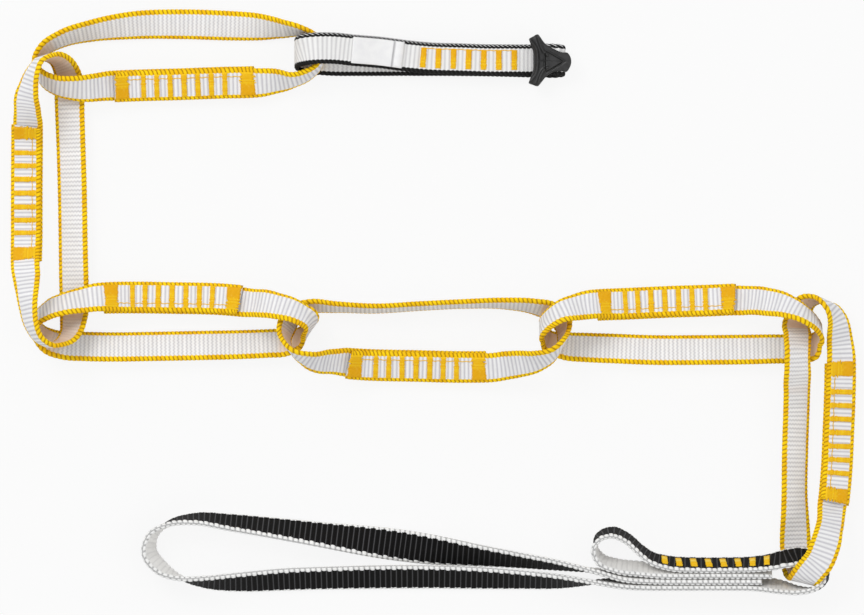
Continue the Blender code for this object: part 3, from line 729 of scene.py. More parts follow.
# Flecks lie on the rim of the second edge only
FLECK_PITCHES_PER_MM = 0.55
FLECK_LIMITS = (0.45, 0.75)
FLECK_RIM_MM = (1.75, 1.35)
rib_number = calc("FLOOR", rib_phase)
second = calc("MULTIPLY", calc("FLOORED_MODULO", rib_number, 2.0), enter["Stagger"])
border = calc("SUBTRACT", calc("SUBTRACT", enter["Selvedge Width"], second),
              calc("MULTIPLY", bead_gap, BORDER_SWING_MM))
selvedge = ramp(woven, calc("SUBTRACT", border, from_edge), -BORDER_BLUR_MM, BORDER_BLUR_MM)
fleck_phase = calc("ADD", bead_phase, calc("MULTIPLY", signed, FLECK_PITCHES_PER_MM))
on_rim = calc("MULTIPLY", ramp(woven, from_edge, *FLECK_RIM_MM), calc("GREATER_THAN", around, half_round))
fleck = calc("MULTIPLY", ramp(woven, gap_nodes(fleck_phase, 1.0), *FLECK_LIMITS), on_rim)
print("border and flecks are masks")

# %% Yarn and uneven shade
# Yarns run along the band, and every second rib shows the ones between
YARN_SHARE, FIBRE_SHARE = 0.7, 0.6
FIBRES_PER_MM, FIBRE_DETAIL = 5.0, 3.0
MOTTLES_PER_MM, MOTTLE_DETAIL = 0.35, 4.0
MOTTLE_LIMITS = (0.3, 0.7)
DARKEST_MOTTLE, DARKEST_RIB = 0.97, 0.94
yarn_phase = calc("ADD", calc("DIVIDE", around, enter["Yarn Pitch"]), calc("MULTIPLY", rib_number, 0.5))
yarn = calc("ABSOLUTE", calc("SINE", calc("MULTIPLY", yarn_phase, math.pi)))
fibre = noise(woven, enter["Band"], FIBRES_PER_MM, FIBRE_DETAIL)
yarn = calc("ADD", calc("MULTIPLY", yarn, YARN_SHARE), calc("MULTIPLY", fibre, FIBRE_SHARE))
mottle = ramp(woven, noise(woven, enter["Band"], MOTTLES_PER_MM, MOTTLE_DETAIL), *MOTTLE_LIMITS,
              DARKEST_MOTTLE, 1.0)
ribbed = ramp(woven, random_shade(woven, rib_number), 0.0, 1.0, DARKEST_RIB, 1.0)
finish_group(woven, {"Rib Gap": rib_gap, "Bead Gap": bead_gap, "Selvedge": selvedge, "Fleck": fleck,
                     "Inner Face": inner, "Shade": calc("MULTIPLY", mottle, ribbed), "Yarn": yarn})

# %% [markdown]
# ## The rings' webbing: white ribs and yellow beads
#
# Nylon is bright and soft, so its roughness is high and a little sheen lifts it at grazing
# angles. The gaps between white ribs get a painted shade of grey, faintly violet, and the gaps
# between the yellow beads get a painted shade of deep amber.

# %% Material of any webbing
YARN_PITCH_MM = 0.62
BEAD_GAP_LIMITS = (0.02, 0.75)
BEAD_PATCHES_PER_MM = 0.12
BEAD_PATCH_LIMITS = (0.42, 0.62)
HIGHEST_YARN = 1.2
WEAVE_ROUGHNESS = (0.92, 0.70)
YARN_BUMP = 0.05 * MM
YARN_BUMP_STRENGTH = 0.8


def grey(tree, value):
    """The same value on all three channels."""
    node = tree.nodes.new("ShaderNodeCombineColor")
    for channel in ("Red", "Green", "Blue"):
        feed(tree, node.inputs[channel], value)
    return node.outputs["Color"]


def webbing_faces(tree, pattern, ribs, inner_ribs, painted_turn_shade):
    """Colour of both faces, each on its humps and in its gaps."""
    faces = blended(tree, pattern["Rib Gap"], *ribs)
    if inner_ribs:
        faces = blended(tree, pattern["Inner Face"], faces, blended(tree, pattern["Rib Gap"], *inner_ribs))
    # The inside of a tight turn gets a painted warm shade, as if lit by the yellow beads around it
    if painted_turn_shade:
        turn = tree.nodes.new("ShaderNodeAttribute")
        turn.attribute_name = "turn"
        inside = maths(tree, "MULTIPLY", turn.outputs["Fac"], pattern["Inner Face"])
        faces = blended(tree, inside, faces, painted_turn_shade)
    return faces


def webbing_edges(tree, place, pattern, beads, bead_variant, flecks):
    """Colour of the beaded edges."""
    hump = beads[0]
    if bead_variant:
        patches = ramp(tree, noise(tree, place, BEAD_PATCHES_PER_MM), *BEAD_PATCH_LIMITS)
        hump = blended(tree, patches, hump, bead_variant)
    strands = blended(tree, ramp(tree, pattern["Bead Gap"], *BEAD_GAP_LIMITS), hump, beads[1])
    if flecks:
        strands = blended(tree, pattern["Fleck"], strands, flecks)
    return strands


def woven_material(name, weave, ribs, beads, inner_ribs=None, painted_turn_shade=None, flecks=None,
                   bead_variant=None, gap_sharpness=0.9, sheen=0.03, specular=0.12):
    """Webbing material. ribs, inner_ribs and beads are each the colour on a hump and in a gap; a gap colour
    darker than its hump is painted shade.
    """
    material, tree, shader = new_material(name, WEAVE_ROUGHNESS[0], sheen=sheen, specular=specular)
    place = band_place(tree)
    pattern = placed_group(tree, woven, {
        "Band": place, "Pitch": weave.pitch / MM, "Round Length": weave.section()[-1] / MM,
        "Selvedge Width": weave.selvedge / MM, "Stagger": weave.stagger / MM, "Slant": weave.slant,
        "Two Rows": float(weave.two_rows), "Gap Sharpness": gap_sharpness, "Yarn Pitch": YARN_PITCH_MM})
    colour = blended(tree, pattern["Selvedge"],
                     webbing_faces(tree, pattern, ribs, inner_ribs, painted_turn_shade),
                     webbing_edges(tree, place, pattern, beads, bead_variant, flecks))
    colour = blended(tree, 1.0, colour, grey(tree, pattern["Shade"]), "MULTIPLY")
    tree.links.new(colour, shader.inputs["Base Color"])
    roughness = ramp(tree, pattern["Yarn"], 0.0, HIGHEST_YARN, *WEAVE_ROUGHNESS)
    tree.links.new(roughness, shader.inputs["Roughness"])
    add_bump(tree, shader, pattern["Yarn"], YARN_BUMP, YARN_BUMP_STRENGTH)
    return material


print("webbing is rough from", WEAVE_ROUGHNESS[1], "to", WEAVE_ROUGHNESS[0])

# %% Colours of the ring webbing
# Each pair is the colour on a hump and in a gap, and the darker gap colour is painted shade
RIB_WITH_GAP_SHADE = ((0.90, 0.90, 0.90, 1), (0.56, 0.55, 0.59, 1))
INNER_RIB_WITH_GAP_SHADE = ((0.93, 0.93, 0.93, 1), (0.58, 0.57, 0.59, 1))
BEAD_WITH_GAP_SHADE = ((1.0, 0.67, 0.006, 1), (0.48, 0.25, 0.003, 1))
BEAD_DEEP = (0.92, 0.53, 0.004, 1)
# Painted warm shade for the inner face in tight turns, tinted by light from the yellow beads
PAINTED_WARM_TURN_SHADE = (0.82, 0.64, 0.51, 1)
ring_material = woven_material("ring_webbing_weave", RING_WEAVE, RIB_WITH_GAP_SHADE, BEAD_WITH_GAP_SHADE, inner_ribs=INNER_RIB_WITH_GAP_SHADE,
                               painted_turn_shade=PAINTED_WARM_TURN_SHADE, bead_variant=BEAD_DEEP)
print("material:", ring_material.name)

# %% [markdown]
# ## Routes of the six rings
#
# Every ring is one strip of webbing that goes once round and laps over itself where it is
# sewn. Each route starts in the middle of the sewn part. The rows were chosen on the
# photograph, closest where the band turns, and the CAD model has the same ones.

# %% Ring routes read from the photograph
RING_ROUTES = {
    "ring_1": [
        (184, 84, 0.08, 74), (226, 82.5, 0.08, 74), (250, 82, 0.12, 72), (268, 81, 0.17, 58),
        (281, 80.5, 0.19, 42), (292, 80, 0.20, 26), (306, 75.5, 0.20, 18), (318, 66, 0.20, 8),
        (322, 52, 0.20, -4), (315, 38, 0.20, -10), (300, 30.5, 0.18, -15), (280, 28, 0.06, -34),
        (256, 26.5, 0.02, -58), (230, 25.5, 0, -68), (182, 24, 0, -70), (134, 25, 0.01, -60),
        (92, 30.5, 0.01, -40), (62, 38.5, 0.01, -29), (44, 49, 0.02, -20), (36, 62, 0.02, -8),
        (41, 76, 0.16, 14), (56, 85.5, 0.48, 34), (76, 88.5, 0.60, 50), (98, 87.5, 0.48, 63),
        (122, 86, 0.18, 72),
    ],
    "ring_2": [
        (26.5, 193, 0.06, 74), (26.5, 238, 0.09, 72), (26.5, 262, 0.36, 64), (28, 285, 0.90, 48),
        (29, 306, 1.06, 34), (32, 324, 1.07, 25), (39, 338, 1.00, 14), (51, 345, 0.84, 2),
        (64, 342, 0.60, -14), (72, 331, 0.24, -36), (74, 315, 0.03, -62), (74, 298, 0, -70),
        (73.5, 278, 0, -70), (73, 250, 0, -68), (72, 190, 0, -68), (70.5, 140, 0, -68),
        (69.5, 112, 0, -70), (69, 92, 0, -72), (68, 75, 0.10, -54), (62, 62, 0.42, -28),
        (51, 57, 0.82, -8), (40, 61, 1.10, 10), (33, 74, 1.18, 25), (29, 92, 1.12, 40),
        (27.5, 112, 0.72, 58), (27, 135, 0.22, 70),
    ],
    "ring_3": [
        (172, 298, 0.06, 73), (130, 297.5, 0.10, 73), (106, 298, 0.36, 66), (84, 300, 0.62, 54),
        (64, 304, 0.60, 42), (48, 310, 0.36, 30), (38, 319, 0.10, 10), (38, 331, 0, -22),
        (48, 341, 0, -50), (64, 345.5, 0, -64), (84, 346.5, 0, -68), (112, 347, 0, -68),
        (150, 346.5, 0, -68), (202, 345.5, 0, -68), (245, 344.5, 0, -66), (268, 343.5, 0, -64),
        (285, 342.5, 0, -62), (299, 339, 0.02, -36), (309, 330, 0.34, 4), (308, 319, 0.86, 30),
        (295, 311, 1.14, 46), (274, 305.5, 1.00, 54), (250, 302, 0.50, 64), (225, 299.5, 0.15, 71),
    ],
    "ring_4": [
        (416, 366, 0.06, 72), (465, 367, 0.09, 72), (492, 366.5, 0.26, 67), (516, 364, 0.62, 56),
        (538, 360, 0.88, 38), (555, 352, 0.94, 16), (564, 338, 0.62, -8), (562, 323, 0.18, -30),
        (551, 311.5, 0, -36), (534, 306.5, 0, -26), (505, 303.5, 0, -16), (461, 304, 0, -11),
        (420, 306, 0, -11), (375, 308.5, 0, -12), (335, 307, 0, -16), (312, 306.5, 0, -24),
        (298, 311.5, 0.05, -34), (287.5, 324, 0.46, -30), (284.5, 338, 0.86, -14), (292, 351, 1.06, 4),
        (308, 358.5, 1.02, 26), (334, 362, 0.58, 52), (362, 364.5, 0.14, 68),
    ],
    "ring_5": [
        (665, 302, 0.07, 74), (622, 304, 0.11, 73), (598, 305, 0.40, 65), (577, 307.5, 0.90, 52),
        (559, 312.5, 1.08, 40), (547, 321, 0.84, 24), (542, 332, 0.30, -6), (549, 342, 0.02, -38),
        (564, 346, 0, -60), (586, 347.5, 0, -68), (612, 348.5, 0, -70), (650, 350, 0, -71),
        (705, 350, 0, -71), (750, 349.5, 0, -70), (776, 349, 0, -67), (796, 349, 0, -64),
        (812, 348, 0, -46), (819.5, 338, 0.16, -10), (816.5, 325, 0.66, 10), (803, 314, 1.02, 30),
        (786, 306.5, 1.00, 46), (764, 301.5, 0.62, 60), (738, 299.5, 0.18, 70), (710, 300.5, 0.09, 74),
    ],
    "ring_6": [
        (838.5, 434, 0.06, 73), (840, 395, 0.08, 73), (840.3, 362, 0.14, 68), (839.5, 338, 0.24, 54),
        (836, 318, 0.34, 36), (829, 306, 0.36, 16), (818, 299, 0.20, -6), (807, 301, 0.06, -28),
        (799.5, 310, 0, -50), (797, 323, 0.08, -58), (797, 337, 0.52, -54), (797, 351, 0.80, -54),
        (797, 367, 0.72, -54), (797, 388, 0.28, -55), (796.5, 412, 0.04, -56), (795.3, 450, 0, -56),
        (794.8, 505, 0, -58), (795.5, 528, 0, -70), (796, 549, 0, -84), (796.5, 560, 0.02, -80),
        (797, 571, 0.20, -50), (799, 577, 0.58, -30), (804, 579.5, 0.96, 20), (809, 573, 1.14, 25),
        (815.5, 561, 1.18, 42), (823, 548, 1.08, 48), (829, 527, 0.82, 58), (833.5, 502, 0.34, 67),
        (836.8, 470, 0.10, 72),
    ],
}
print("rows in each route:", {name: len(rows) for name, rows in RING_ROUTES.items()})

# %% [markdown]
# A closed route isn't yet a strip, which has two ends. The route is walked once round and a
# little further, so that its start and its end lie side by side for the length of the seam.
# There each end moves off the route by half a layer, one to the outside and one to the inside.

# %% Strips from the routes
SEWN_LENGTH = 61.0 * MM
LAYER_GAP = 0.3 * MM
LAYER_EASE_LENGTH = 9 * MM


def ring_path(rows):
    """Open strip round a ring, whose two ends lie face to face in the sewn part."""
    layer_pitch = RING_WEAVE.thickness + LAYER_GAP
    half_sewn = SEWN_LENGTH / 2
    closed = leaning_path(rows, RING_WEAVE.width, RING_WEAVE.thickness, True)
    length = closed.arc[-1] + np.linalg.norm(closed.middle[0] - closed.middle[-1])
    from_middle = np.minimum(closed.arc, length - closed.arc)
    doubled = layer_pitch * (1 - smooth_step(from_middle, half_sewn, half_sewn + LAYER_EASE_LENGTH))
    closed = leaning_path(rows, RING_WEAVE.width, RING_WEAVE.thickness, True, doubled)
    thrice = Path(*(np.concatenate([part] * 3) for part in
                    (closed.middle, closed.travel, closed.across, closed.face)))
    start = thrice.arc[len(closed.middle)]
    length = thrice.arc[2 * len(closed.middle)] - start
    arcs = np.linspace(-half_sewn, length + half_sewn, 3 * len(closed.middle))
    strip = thrice.at(start + arcs)
    outer = 1 - smooth_step(arcs, half_sewn, half_sewn + LAYER_EASE_LENGTH)
    inner = smooth_step(arcs, length - half_sewn - LAYER_EASE_LENGTH, length - half_sewn)
    strip.arc = arcs + half_sewn
    return strip.shifted(layer_pitch / 2 * (outer - inner))


ring_paths = {name: ring_path(rows) for name, rows in RING_ROUTES.items()}
print("strips:", list(ring_paths))

# %% [markdown]
# Ring 6 folds flat over itself in the eye of the sling. Its solid turns there in a simple
# curve, so the fold is made here: one stretch of the path is cut out, and new rows take its
# place that also say which way the ribbon lies.

# %% Fold of ring 6 in the sling's eye
# Pixel across, pixel down, height in mm and the way across the ribbon
EYE_FOLD = [
    (796, 549, 1.6, (-1, 0, 0.05)), (797, 563, 1.4, (-1, 0, 0)), (799.5, 574, 2.6, (-0.98, 0.15, 0)),
    (802, 580.5, 7.5, (-0.97, 0.22, 0)), (804.5, 577.5, 12.6, (-0.97, 0.22, 0)),
    (811, 569.5, 15.6, (-0.97, 0.22, 0)), (818.5, 560, 17.2, (-0.97, 0.20, 0.05)),
    (823.5, 548, 18.0, (-0.97, 0.10, 0.18)),
]
EYE_FOLD_ENDS = [(795, 512, 3.0), (829.5, 524, 15.0)]
FOLD_LEAD = 6 * MM


def refolded(path, rows, ends):
    """The path with one stretch replaced by rows that also give the way across."""
    leave, arrive = (path.nearest(x, y, height * MM) for x, y, height in ends)
    before, after = path.at([leave - FOLD_LEAD, leave]), path.at([arrive, arrive + FOLD_LEAD])
    places = np.array([[*on_table(x, y), height * MM] for x, y, height, _ in rows])
    ways = np.array([way for *_, way in rows])
    states = np.column_stack([np.vstack([before.middle, places, after.middle]),
                              np.vstack([before.across, ways, after.across])])
    fine = smooth_route(states, False)[ROUTE_STEPS:-ROUTE_STEPS]
    head, tail = path.arc < leave, path.arc > arrive
    middle = np.vstack([path.middle[head], fine[:, :3], path.middle[tail]])
    across = np.vstack([path.across[head], fine[:, 3:], path.across[tail]])
    evened = Path(middle, middle, across, across)
    evened = evened.at(np.linspace(0, evened.arc[-1], len(path.middle)))
    return framed(evened.middle, evened.across, False)


ring_paths["ring_6"] = refolded(ring_paths["ring_6"], EYE_FOLD, EYE_FOLD_ENDS)
print("strip lengths in mm:", {name: round(path.arc[-1] / MM) for name, path in ring_paths.items()})

# %% [markdown]
# All six rings are cut from one webbing, so they share a weave and a material. Each one is a
# piece of its own that rides on its own body, because every ring moves by itself. Its ends
# are trimmed a little, so that they stay hidden just inside the end tacks.

# %% Weave the rings
END_TRIM = 1.3 * MM
for name, path in ring_paths.items():
    webbing = woven_band(name + "_woven_webbing", path, RING_WEAVE, END_TRIM)
    webbing.data.materials.append(ring_material)
    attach(webbing, name)
    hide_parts(name + "_webbing")
    print(webbing.name, len(webbing.data.polygons), "faces")

# %% [markdown]
# ## Bar tacks
#
# A bar tack is a dense zigzag of thread that a machine sews through both layers of webbing.
# Each thread lies along the band, side by side with the next, and dips into the cloth at
# both ends. Here an arch is swept across the band: every few samples of the sweep are one
# thread, with a groove between threads and slightly uneven ends. One pad lies on each
# outside face of the sewn stack.

# %% One pad of threads
THREAD_PITCH = 0.38 * MM
SAMPLES_PER_THREAD = 4
THREAD_RELIEF = 0.13 * MM
PAD_HEIGHT = 0.62 * MM
PAD_SINK = 0.35 * MM
EVEN_THREADS = 0.05
GROOVE_PULL = 0.06
DRIFT_SHARE = 0.5
SHOULDER_POWER, LOWEST_SHOULDER = 10, 0.12
# The arch of one thread: share of the half length, and share of the height
ARCH = [(-1.0, 0.0), (-0.985, 0.35), (-0.93, 0.68), (-0.8, 0.9), (-0.5, 0.99), (0.0, 1.0),
        (0.5, 0.99), (0.8, 0.9), (0.93, 0.68), (0.985, 0.35), (1.0, 0.0)]


def stitch_pad(path, middle, length, width, thickness, seed, ragged=0.0, skew=0.0):
    """Rows of points and UV values of one pad of threads on a band's face.

    ragged is how unevenly the threads of one half end, and skew slants the pad.
    """
    draw = np.random.default_rng(seed)
    threads = int(round(width / THREAD_PITCH))
    across = np.linspace(-width / 2, width / 2, threads * SAMPLES_PER_THREAD + 1)
    count = np.linspace(0, threads, len(across))
    ridge = np.abs(np.sin(np.pi * count))
    order = np.minimum(count.astype(int), threads - 1)
    uneven = EVEN_THREADS + ragged * (np.arange(threads) > threads / 2)
    reach = 1 + (uneven * draw.uniform(-1, 1, threads))[order] - GROOVE_PULL * (1 - ridge)
    drift = (DRIFT_SHARE * uneven * draw.uniform(-1, 1, threads))[order]
    arch = np.array(ARCH)
    # The pad is rounded off where its first and last threads turn down
    from_middle = np.abs(across / (width / 2))
    shoulder = np.sqrt(np.clip(1 - from_middle**SHOULDER_POWER, LOWEST_SHOULDER, 1))
    travel = (arch[None, :, 0] * reach[:, None] + drift[:, None]) * length / 2
    slope = rib_slope(path.at([middle]))[0] + skew
    lift = arch[None, :, 1] * (PAD_HEIGHT * shoulder - THREAD_RELIEF * (1 - ridge))[:, None]
    line = path.at((middle + travel + slope * across[:, None]).ravel())
    base = thickness / 2 - PAD_SINK * (arch[None, :, 1] == 0)
    offset = (base + lift).ravel()[:, None]
    side = np.repeat(across, len(arch))[:, None]
    points = line.middle + side * line.across + offset * line.face
    uvs = np.empty((len(across), len(arch) + 1, 2))
    uvs[..., 0] = across[:, None] / MM
    uvs[..., 1] = np.append(arch[:, 0], arch[0, 0])[None] * length / 2 / MM
    return points.reshape(len(across), len(arch), 3), uvs


print("points in the arch of a thread:", len(ARCH))

# %% [markdown]
# Between two bars the machine doesn't cut its thread, so one thread jumps from bar to bar
# along the seam. It is a thin tube that wanders a little on the webbing.

# %% The thread that joins the bars
JOINING_RADIUS = 0.17 * MM
JOINING_ROWS, JOINING_SIDES = 120, 6
JOINING_LIFT = 0.04 * MM
JOINING_WANDER = 0.12 * MM
JOINING_WAVES_PER_MM = 2.1
JOINING_UV_MM = 0.06


def joining_thread(path, middle, reach, side, thickness):
    """Rows of points and UV values of the thread that jumps from one bar to the next."""
    arcs = np.linspace(middle - reach, middle + reach, JOINING_ROWS)
    line = path.at(arcs + rib_slope(path.at([middle]))[0] * side)
    wander = JOINING_WANDER * np.sin(arcs / MM * JOINING_WAVES_PER_MM)
    turn = np.linspace(0, 2 * math.pi, JOINING_SIDES + 1)
    sides = side + wander[:, None] + JOINING_RADIUS * np.cos(turn[:-1])[None]
    lifts = thickness / 2 + JOINING_LIFT + JOINING_RADIUS * np.sin(turn[:-1])[None]
    lifts = np.broadcast_to(lifts, sides.shape)
    points = (line.middle[:, None] + sides[..., None] * line.across[:, None]
              + lifts[..., None] * line.face[:, None])
    uvs = np.empty((len(arcs), len(turn), 2))
    uvs[..., 0] = turn[None] * JOINING_UV_MM
    uvs[..., 1] = (arcs - middle)[:, None] / MM
    return points, uvs


print("joining thread in mm:", 2 * JOINING_RADIUS / MM)

# %% Several meshes as one piece


def read_values(items, name, kind, width=1):
    """One value of every vertex, corner or face of a mesh, as a flat array."""
    values = np.empty(len(items) * width, kind)
    items.foreach_get(name, values)
    return values


def join_meshes(name, meshes):
    """One piece from several meshes, with their UV values."""
    vertices, loops, starts, uvs = [], [], [], []
    vertex_count = loop_count = 0
    for mesh in meshes:
        vertices.append(read_values(mesh.vertices, "co", np.float32, 3))
        loops.append(read_values(mesh.loops, "vertex_index", np.int32) + vertex_count)
        starts.append(read_values(mesh.polygons, "loop_start", np.int32) + loop_count)
        uvs.append(read_values(mesh.uv_layers["band"].uv, "vector", np.float32, 2))
        vertex_count += len(mesh.vertices)
        loop_count += len(mesh.loops)
        bpy.data.meshes.remove(mesh)
    starts = np.concatenate(starts)
    joined = bpy.data.meshes.new(name)
    joined.vertices.add(vertex_count)
    joined.vertices.foreach_set("co", np.concatenate(vertices))
    joined.loops.add(loop_count)
    joined.loops.foreach_set("vertex_index", np.concatenate(loops))
    joined.polygons.add(len(starts))
    joined.polygons.foreach_set("loop_start", starts)
    joined.uv_layers.new(name="band")
    joined.uv_layers["band"].uv.foreach_set("vector", np.concatenate(uvs))
    joined.update(calc_edges=True)
    joined.polygons.foreach_set("use_smooth", np.ones(len(starts), bool))
    return link(name, joined)


print("meshes can be joined")

# %% [markdown]
# ## Yellow thread
#
# The thread is polyester with a dull gloss. Where two threads meet, the groove between them
# gets a painted amber shade, and no two threads are quite alike. A fine twist runs slantwise
# over each thread, too fine for the mesh, so it is bump. The pattern is one node group for all the tacks.

# %% Node group for thread
GROOVE_SHARPNESS = 1.8
PATCHES_PER_MM, PATCH_DETAIL = 0.9, 3.0
PATCH_MM = 2.0
HALF_LIMITS_MM = (0.2, 1.8)
PALE_LIMITS, PALE_SHARE = (0.45, 0.65), 0.2
DEEP_LIMITS, DEEP_SHARE = (0.1, 0.9), 0.7
TWIST_SLANT, TWIST_PER_MM = 1.3, 24.0
sewing, enter = new_group("sewing_thread", ["Band"], ["Thread Pitch"])
side, along, _ = split_place(sewing, enter["Band"])
thread_phase = maths(sewing, "DIVIDE", side, enter["Thread Pitch"])
ridge = maths(sewing, "ABSOLUTE", maths(sewing, "SINE", maths(sewing, "MULTIPLY", thread_phase, math.pi)))
groove = maths(sewing, "POWER", maths(sewing, "SUBTRACT", 1.0, ridge), GROOVE_SHARPNESS)
patchy = noise(sewing, enter["Band"], PATCHES_PER_MM, PATCH_DETAIL)
border = maths(sewing, "ADD", side, maths(sewing, "MULTIPLY", patchy, PATCH_MM))
thread_shade = random_shade(sewing, maths(sewing, "FLOOR", thread_phase))
slant = maths(sewing, "ADD", along, maths(sewing, "MULTIPLY", side, TWIST_SLANT))
finish_group(sewing, {
    "Groove": groove, "Second Half": ramp(sewing, border, *HALF_LIMITS_MM),
    "Pale": ramp(sewing, patchy, *PALE_LIMITS, 0.0, PALE_SHARE),
    "Deep": ramp(sewing, thread_shade, *DEEP_LIMITS, 0.0, DEEP_SHARE),
    "Twist": maths(sewing, "SINE", maths(sewing, "MULTIPLY", slant, TWIST_PER_MM))})

# %% Materials of the tacks
THREAD_DEEP = (0.86, 0.44, 0.002, 1)
THREAD_GOLD = (0.96, 0.62, 0.008, 1)
THREAD_PALE = (0.93, 0.74, 0.14, 1)
THREAD_GROOVE_SHADE = (0.66, 0.34, 0.003, 1)
GROOVE_SHARE = 0.7
THREAD_ROUGHNESS = (0.58, 0.42)
THREAD_SPECULAR = 0.15
TWIST_BUMP, TWIST_BUMP_STRENGTH = 0.02 * MM, 0.6


def thread_material(name, first_half, second_half):
    """Thread that goes from one colour to another across the pad."""
    material, tree, shader = new_material(name, THREAD_ROUGHNESS[0], specular=THREAD_SPECULAR)
    pattern = placed_group(tree, sewing, {"Band": band_place(tree), "Thread Pitch": THREAD_PITCH / MM})
    colour = blended(tree, pattern["Second Half"], first_half, second_half)
    colour = blended(tree, pattern["Pale"], colour, THREAD_PALE)
    colour = blended(tree, pattern["Deep"], colour, THREAD_DEEP)
    # Painted amber shade in the grooves between threads
    groove_shade = maths(tree, "MULTIPLY", pattern["Groove"], GROOVE_SHARE)
    tree.links.new(blended(tree, groove_shade, colour, THREAD_GROOVE_SHADE), shader.inputs["Base Color"])
    tree.links.new(ramp(tree, pattern["Twist"], -1.0, 1.0, *THREAD_ROUGHNESS), shader.inputs["Roughness"])
    add_bump(tree, shader, pattern["Twist"], TWIST_BUMP, TWIST_BUMP_STRENGTH)
    return material


end_thread = thread_material("end_tack_thread", THREAD_DEEP, THREAD_GOLD)
bar_thread = thread_material("bar_tack_thread", THREAD_GOLD, THREAD_GOLD)
print("materials:", end_thread.name, bar_thread.name)

# %% [markdown]
# ## Sewing a seam
#
# A seam is a row of tacks, and each tack has a pad on both outside faces of its stack. The
# strip comes past the seam twice, and its second layer may run the other way or face inwards,
# so the two layers are first turned to face out. Then one function makes the pads, and another
# adds them to the scene in place of the CAD tack.

# %% Helpers for a seam


def outward_pair(path, outer_middle, inner_middle):
    """The two outside layers of a sewn stack, both with their face looking out.

    Gives (path, middle, way) for each, where way is -1 if the layer runs the other way.
    """
    ends = path.at([outer_middle, inner_middle])
    way = math.copysign(1, ends.travel[0].dot(ends.travel[1]))
    inner = path.turned() if ends.face[0].dot(ends.face[1]) > 0 else path
    return [(path, outer_middle, 1.0), (inner, inner_middle, way)]


def spread(count, pitch):
    """Places of a row that is centred on zero."""
    return (np.arange(count) - (count - 1) / 2) * pitch


def tack_pads(layers, place, length, width, thickness, seed, **style):
    return [stitch_pad(path, middle + way * place, length, width, thickness, seed + side, **style)
            for side, (path, middle, way) in enumerate(layers)]


def sewn(name, pads, material, body, replaced=None):
    """Adds one tack piece to a body, in place of the CAD node that it replaces."""
    meshes = [grid_mesh(f"{name}_pad_{number}", *pad) for number, pad in enumerate(pads)]
    tack = join_meshes(name, meshes)
    tack.data.materials.append(material)
    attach(tack, body)
    if replaced:
        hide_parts(replaced)
    return tack


print("a row of three, 5 mm apart:", spread(3, 5))

# %% [markdown]
# A ring's seam has a dense tack at each end, which carries the load, and seven short bars
# between them. The end tacks are pieces of their own, as they are in the CAD model. The bars
# and the thread that joins them are one piece, since they are fused with the webbing there.

# %% Sew the rings
END_TACK_LENGTH = 6.2 * MM
END_TACK_SPACING = 52.9 * MM
LADDER_TACK_LENGTH = 2.2 * MM
LADDER_TACK_PITCH = 5.6 * MM
LADDER_TACK_COUNT = 7
RING_TACK_WIDTH = 9.8 * MM
JOINING_THREAD_PLACE = 3.1 * MM
JOINING_THREAD_REACH = END_TACK_SPACING / 2 - END_TACK_LENGTH / 3
END_RAGGED, LADDER_RAGGED = 0.17, 0.14
# Each pad draws its threads with a seed of its own
SEEDS_PER_RING, FIRST_LADDER_SEED, SEEDS_PER_TACK = 100, 20, 2
for order, (name, path) in enumerate(ring_paths.items()):
    layers = outward_pair(path, SEWN_LENGTH / 2, path.arc[-1] - SEWN_LENGTH / 2)
    seed = SEEDS_PER_RING * order
    for number, place in enumerate(spread(2, END_TACK_SPACING), 1):
        pads = tack_pads(layers, place, END_TACK_LENGTH, RING_TACK_WIDTH, RING_WEAVE.thickness,
                         seed + SEEDS_PER_TACK * number, ragged=END_RAGGED)
        sewn(f"{name}_end_stitching_{number}", pads, end_thread, name, f"{name}_end_tack_{number}")
    pads = []
    for number, place in enumerate(spread(LADDER_TACK_COUNT, LADDER_TACK_PITCH)):
        pads += tack_pads(layers, place, LADDER_TACK_LENGTH, RING_TACK_WIDTH, RING_WEAVE.thickness,
                          seed + FIRST_LADDER_SEED + SEEDS_PER_TACK * number, ragged=LADDER_RAGGED)
    pads += [joining_thread(layer, middle, JOINING_THREAD_REACH, JOINING_THREAD_PLACE, RING_WEAVE.thickness)
             for layer, middle, _ in layers]
    ladder = sewn(name + "_ladder_stitching", pads, bar_thread, name)
    print(name, "sewn with", len(ladder.data.polygons), "faces in its ladder")

# %% [markdown]
# ## The clip loop
#
# White webbing with thin black edges that are flecked with white. It lies flat, and turns
# back over itself, so its rows give the height of its middle and its across direction is
# always level.

# %% Route and weave of the clip loop
CLIP_ROUTE = [
    (412, 60, 0.15), (445, 60, 0.15), (490, 60.5, 0.155), (512, 61, 0.17), (530, 61.5, 0.19),
    (544, 61.5, 0.185), (552, 62, 0.165), (559.5, 61.5, 0.20), (563, 60.7, 0.36), (559.5, 60, 0.52),
    (552, 59.3, 0.55), (544, 59.5, 0.48), (536, 60, 0.405), (527, 60, 0.40), (518, 60, 0.46),
    (508, 60, 0.53), (490, 60, 0.55), (460, 59, 0.55), (430, 58, 0.55), (408, 56, 0.58),
    (380, 52.5, 0.74), (354, 50.5, 1.08), (332, 48.5, 1.33), (311, 49, 1.35), (300, 51, 1.10),
    (297, 53.5, 0.74), (300, 56, 0.36), (310, 58, 0.13), (326, 59.5, 0.095), (360, 60, 0.095),
    (382, 60, 0.13), (398, 60, 0.28), (410, 60, 0.345), (440, 60, 0.35), (480, 60, 0.35),
    (500, 60, 0.355),
]
CLIP_WEAVE = Weave(width=13 * MM, thickness=2.1 * MM, pitch=1.8 * MM, rib_relief=0.12 * MM,
                   selvedge=2.45 * MM, bead_relief=0.26 * MM, slant=0.5)
points = smooth_route([(*on_table(x, y), height * CLIP_WEAVE.width) for x, y, height in CLIP_ROUTE], False)
clip_path = framed(points, np.tile([0.0, -1.0, 0.0], (len(points), 1)), False)
print("clip loop strip in mm:", round(clip_path.arc[-1] / MM))
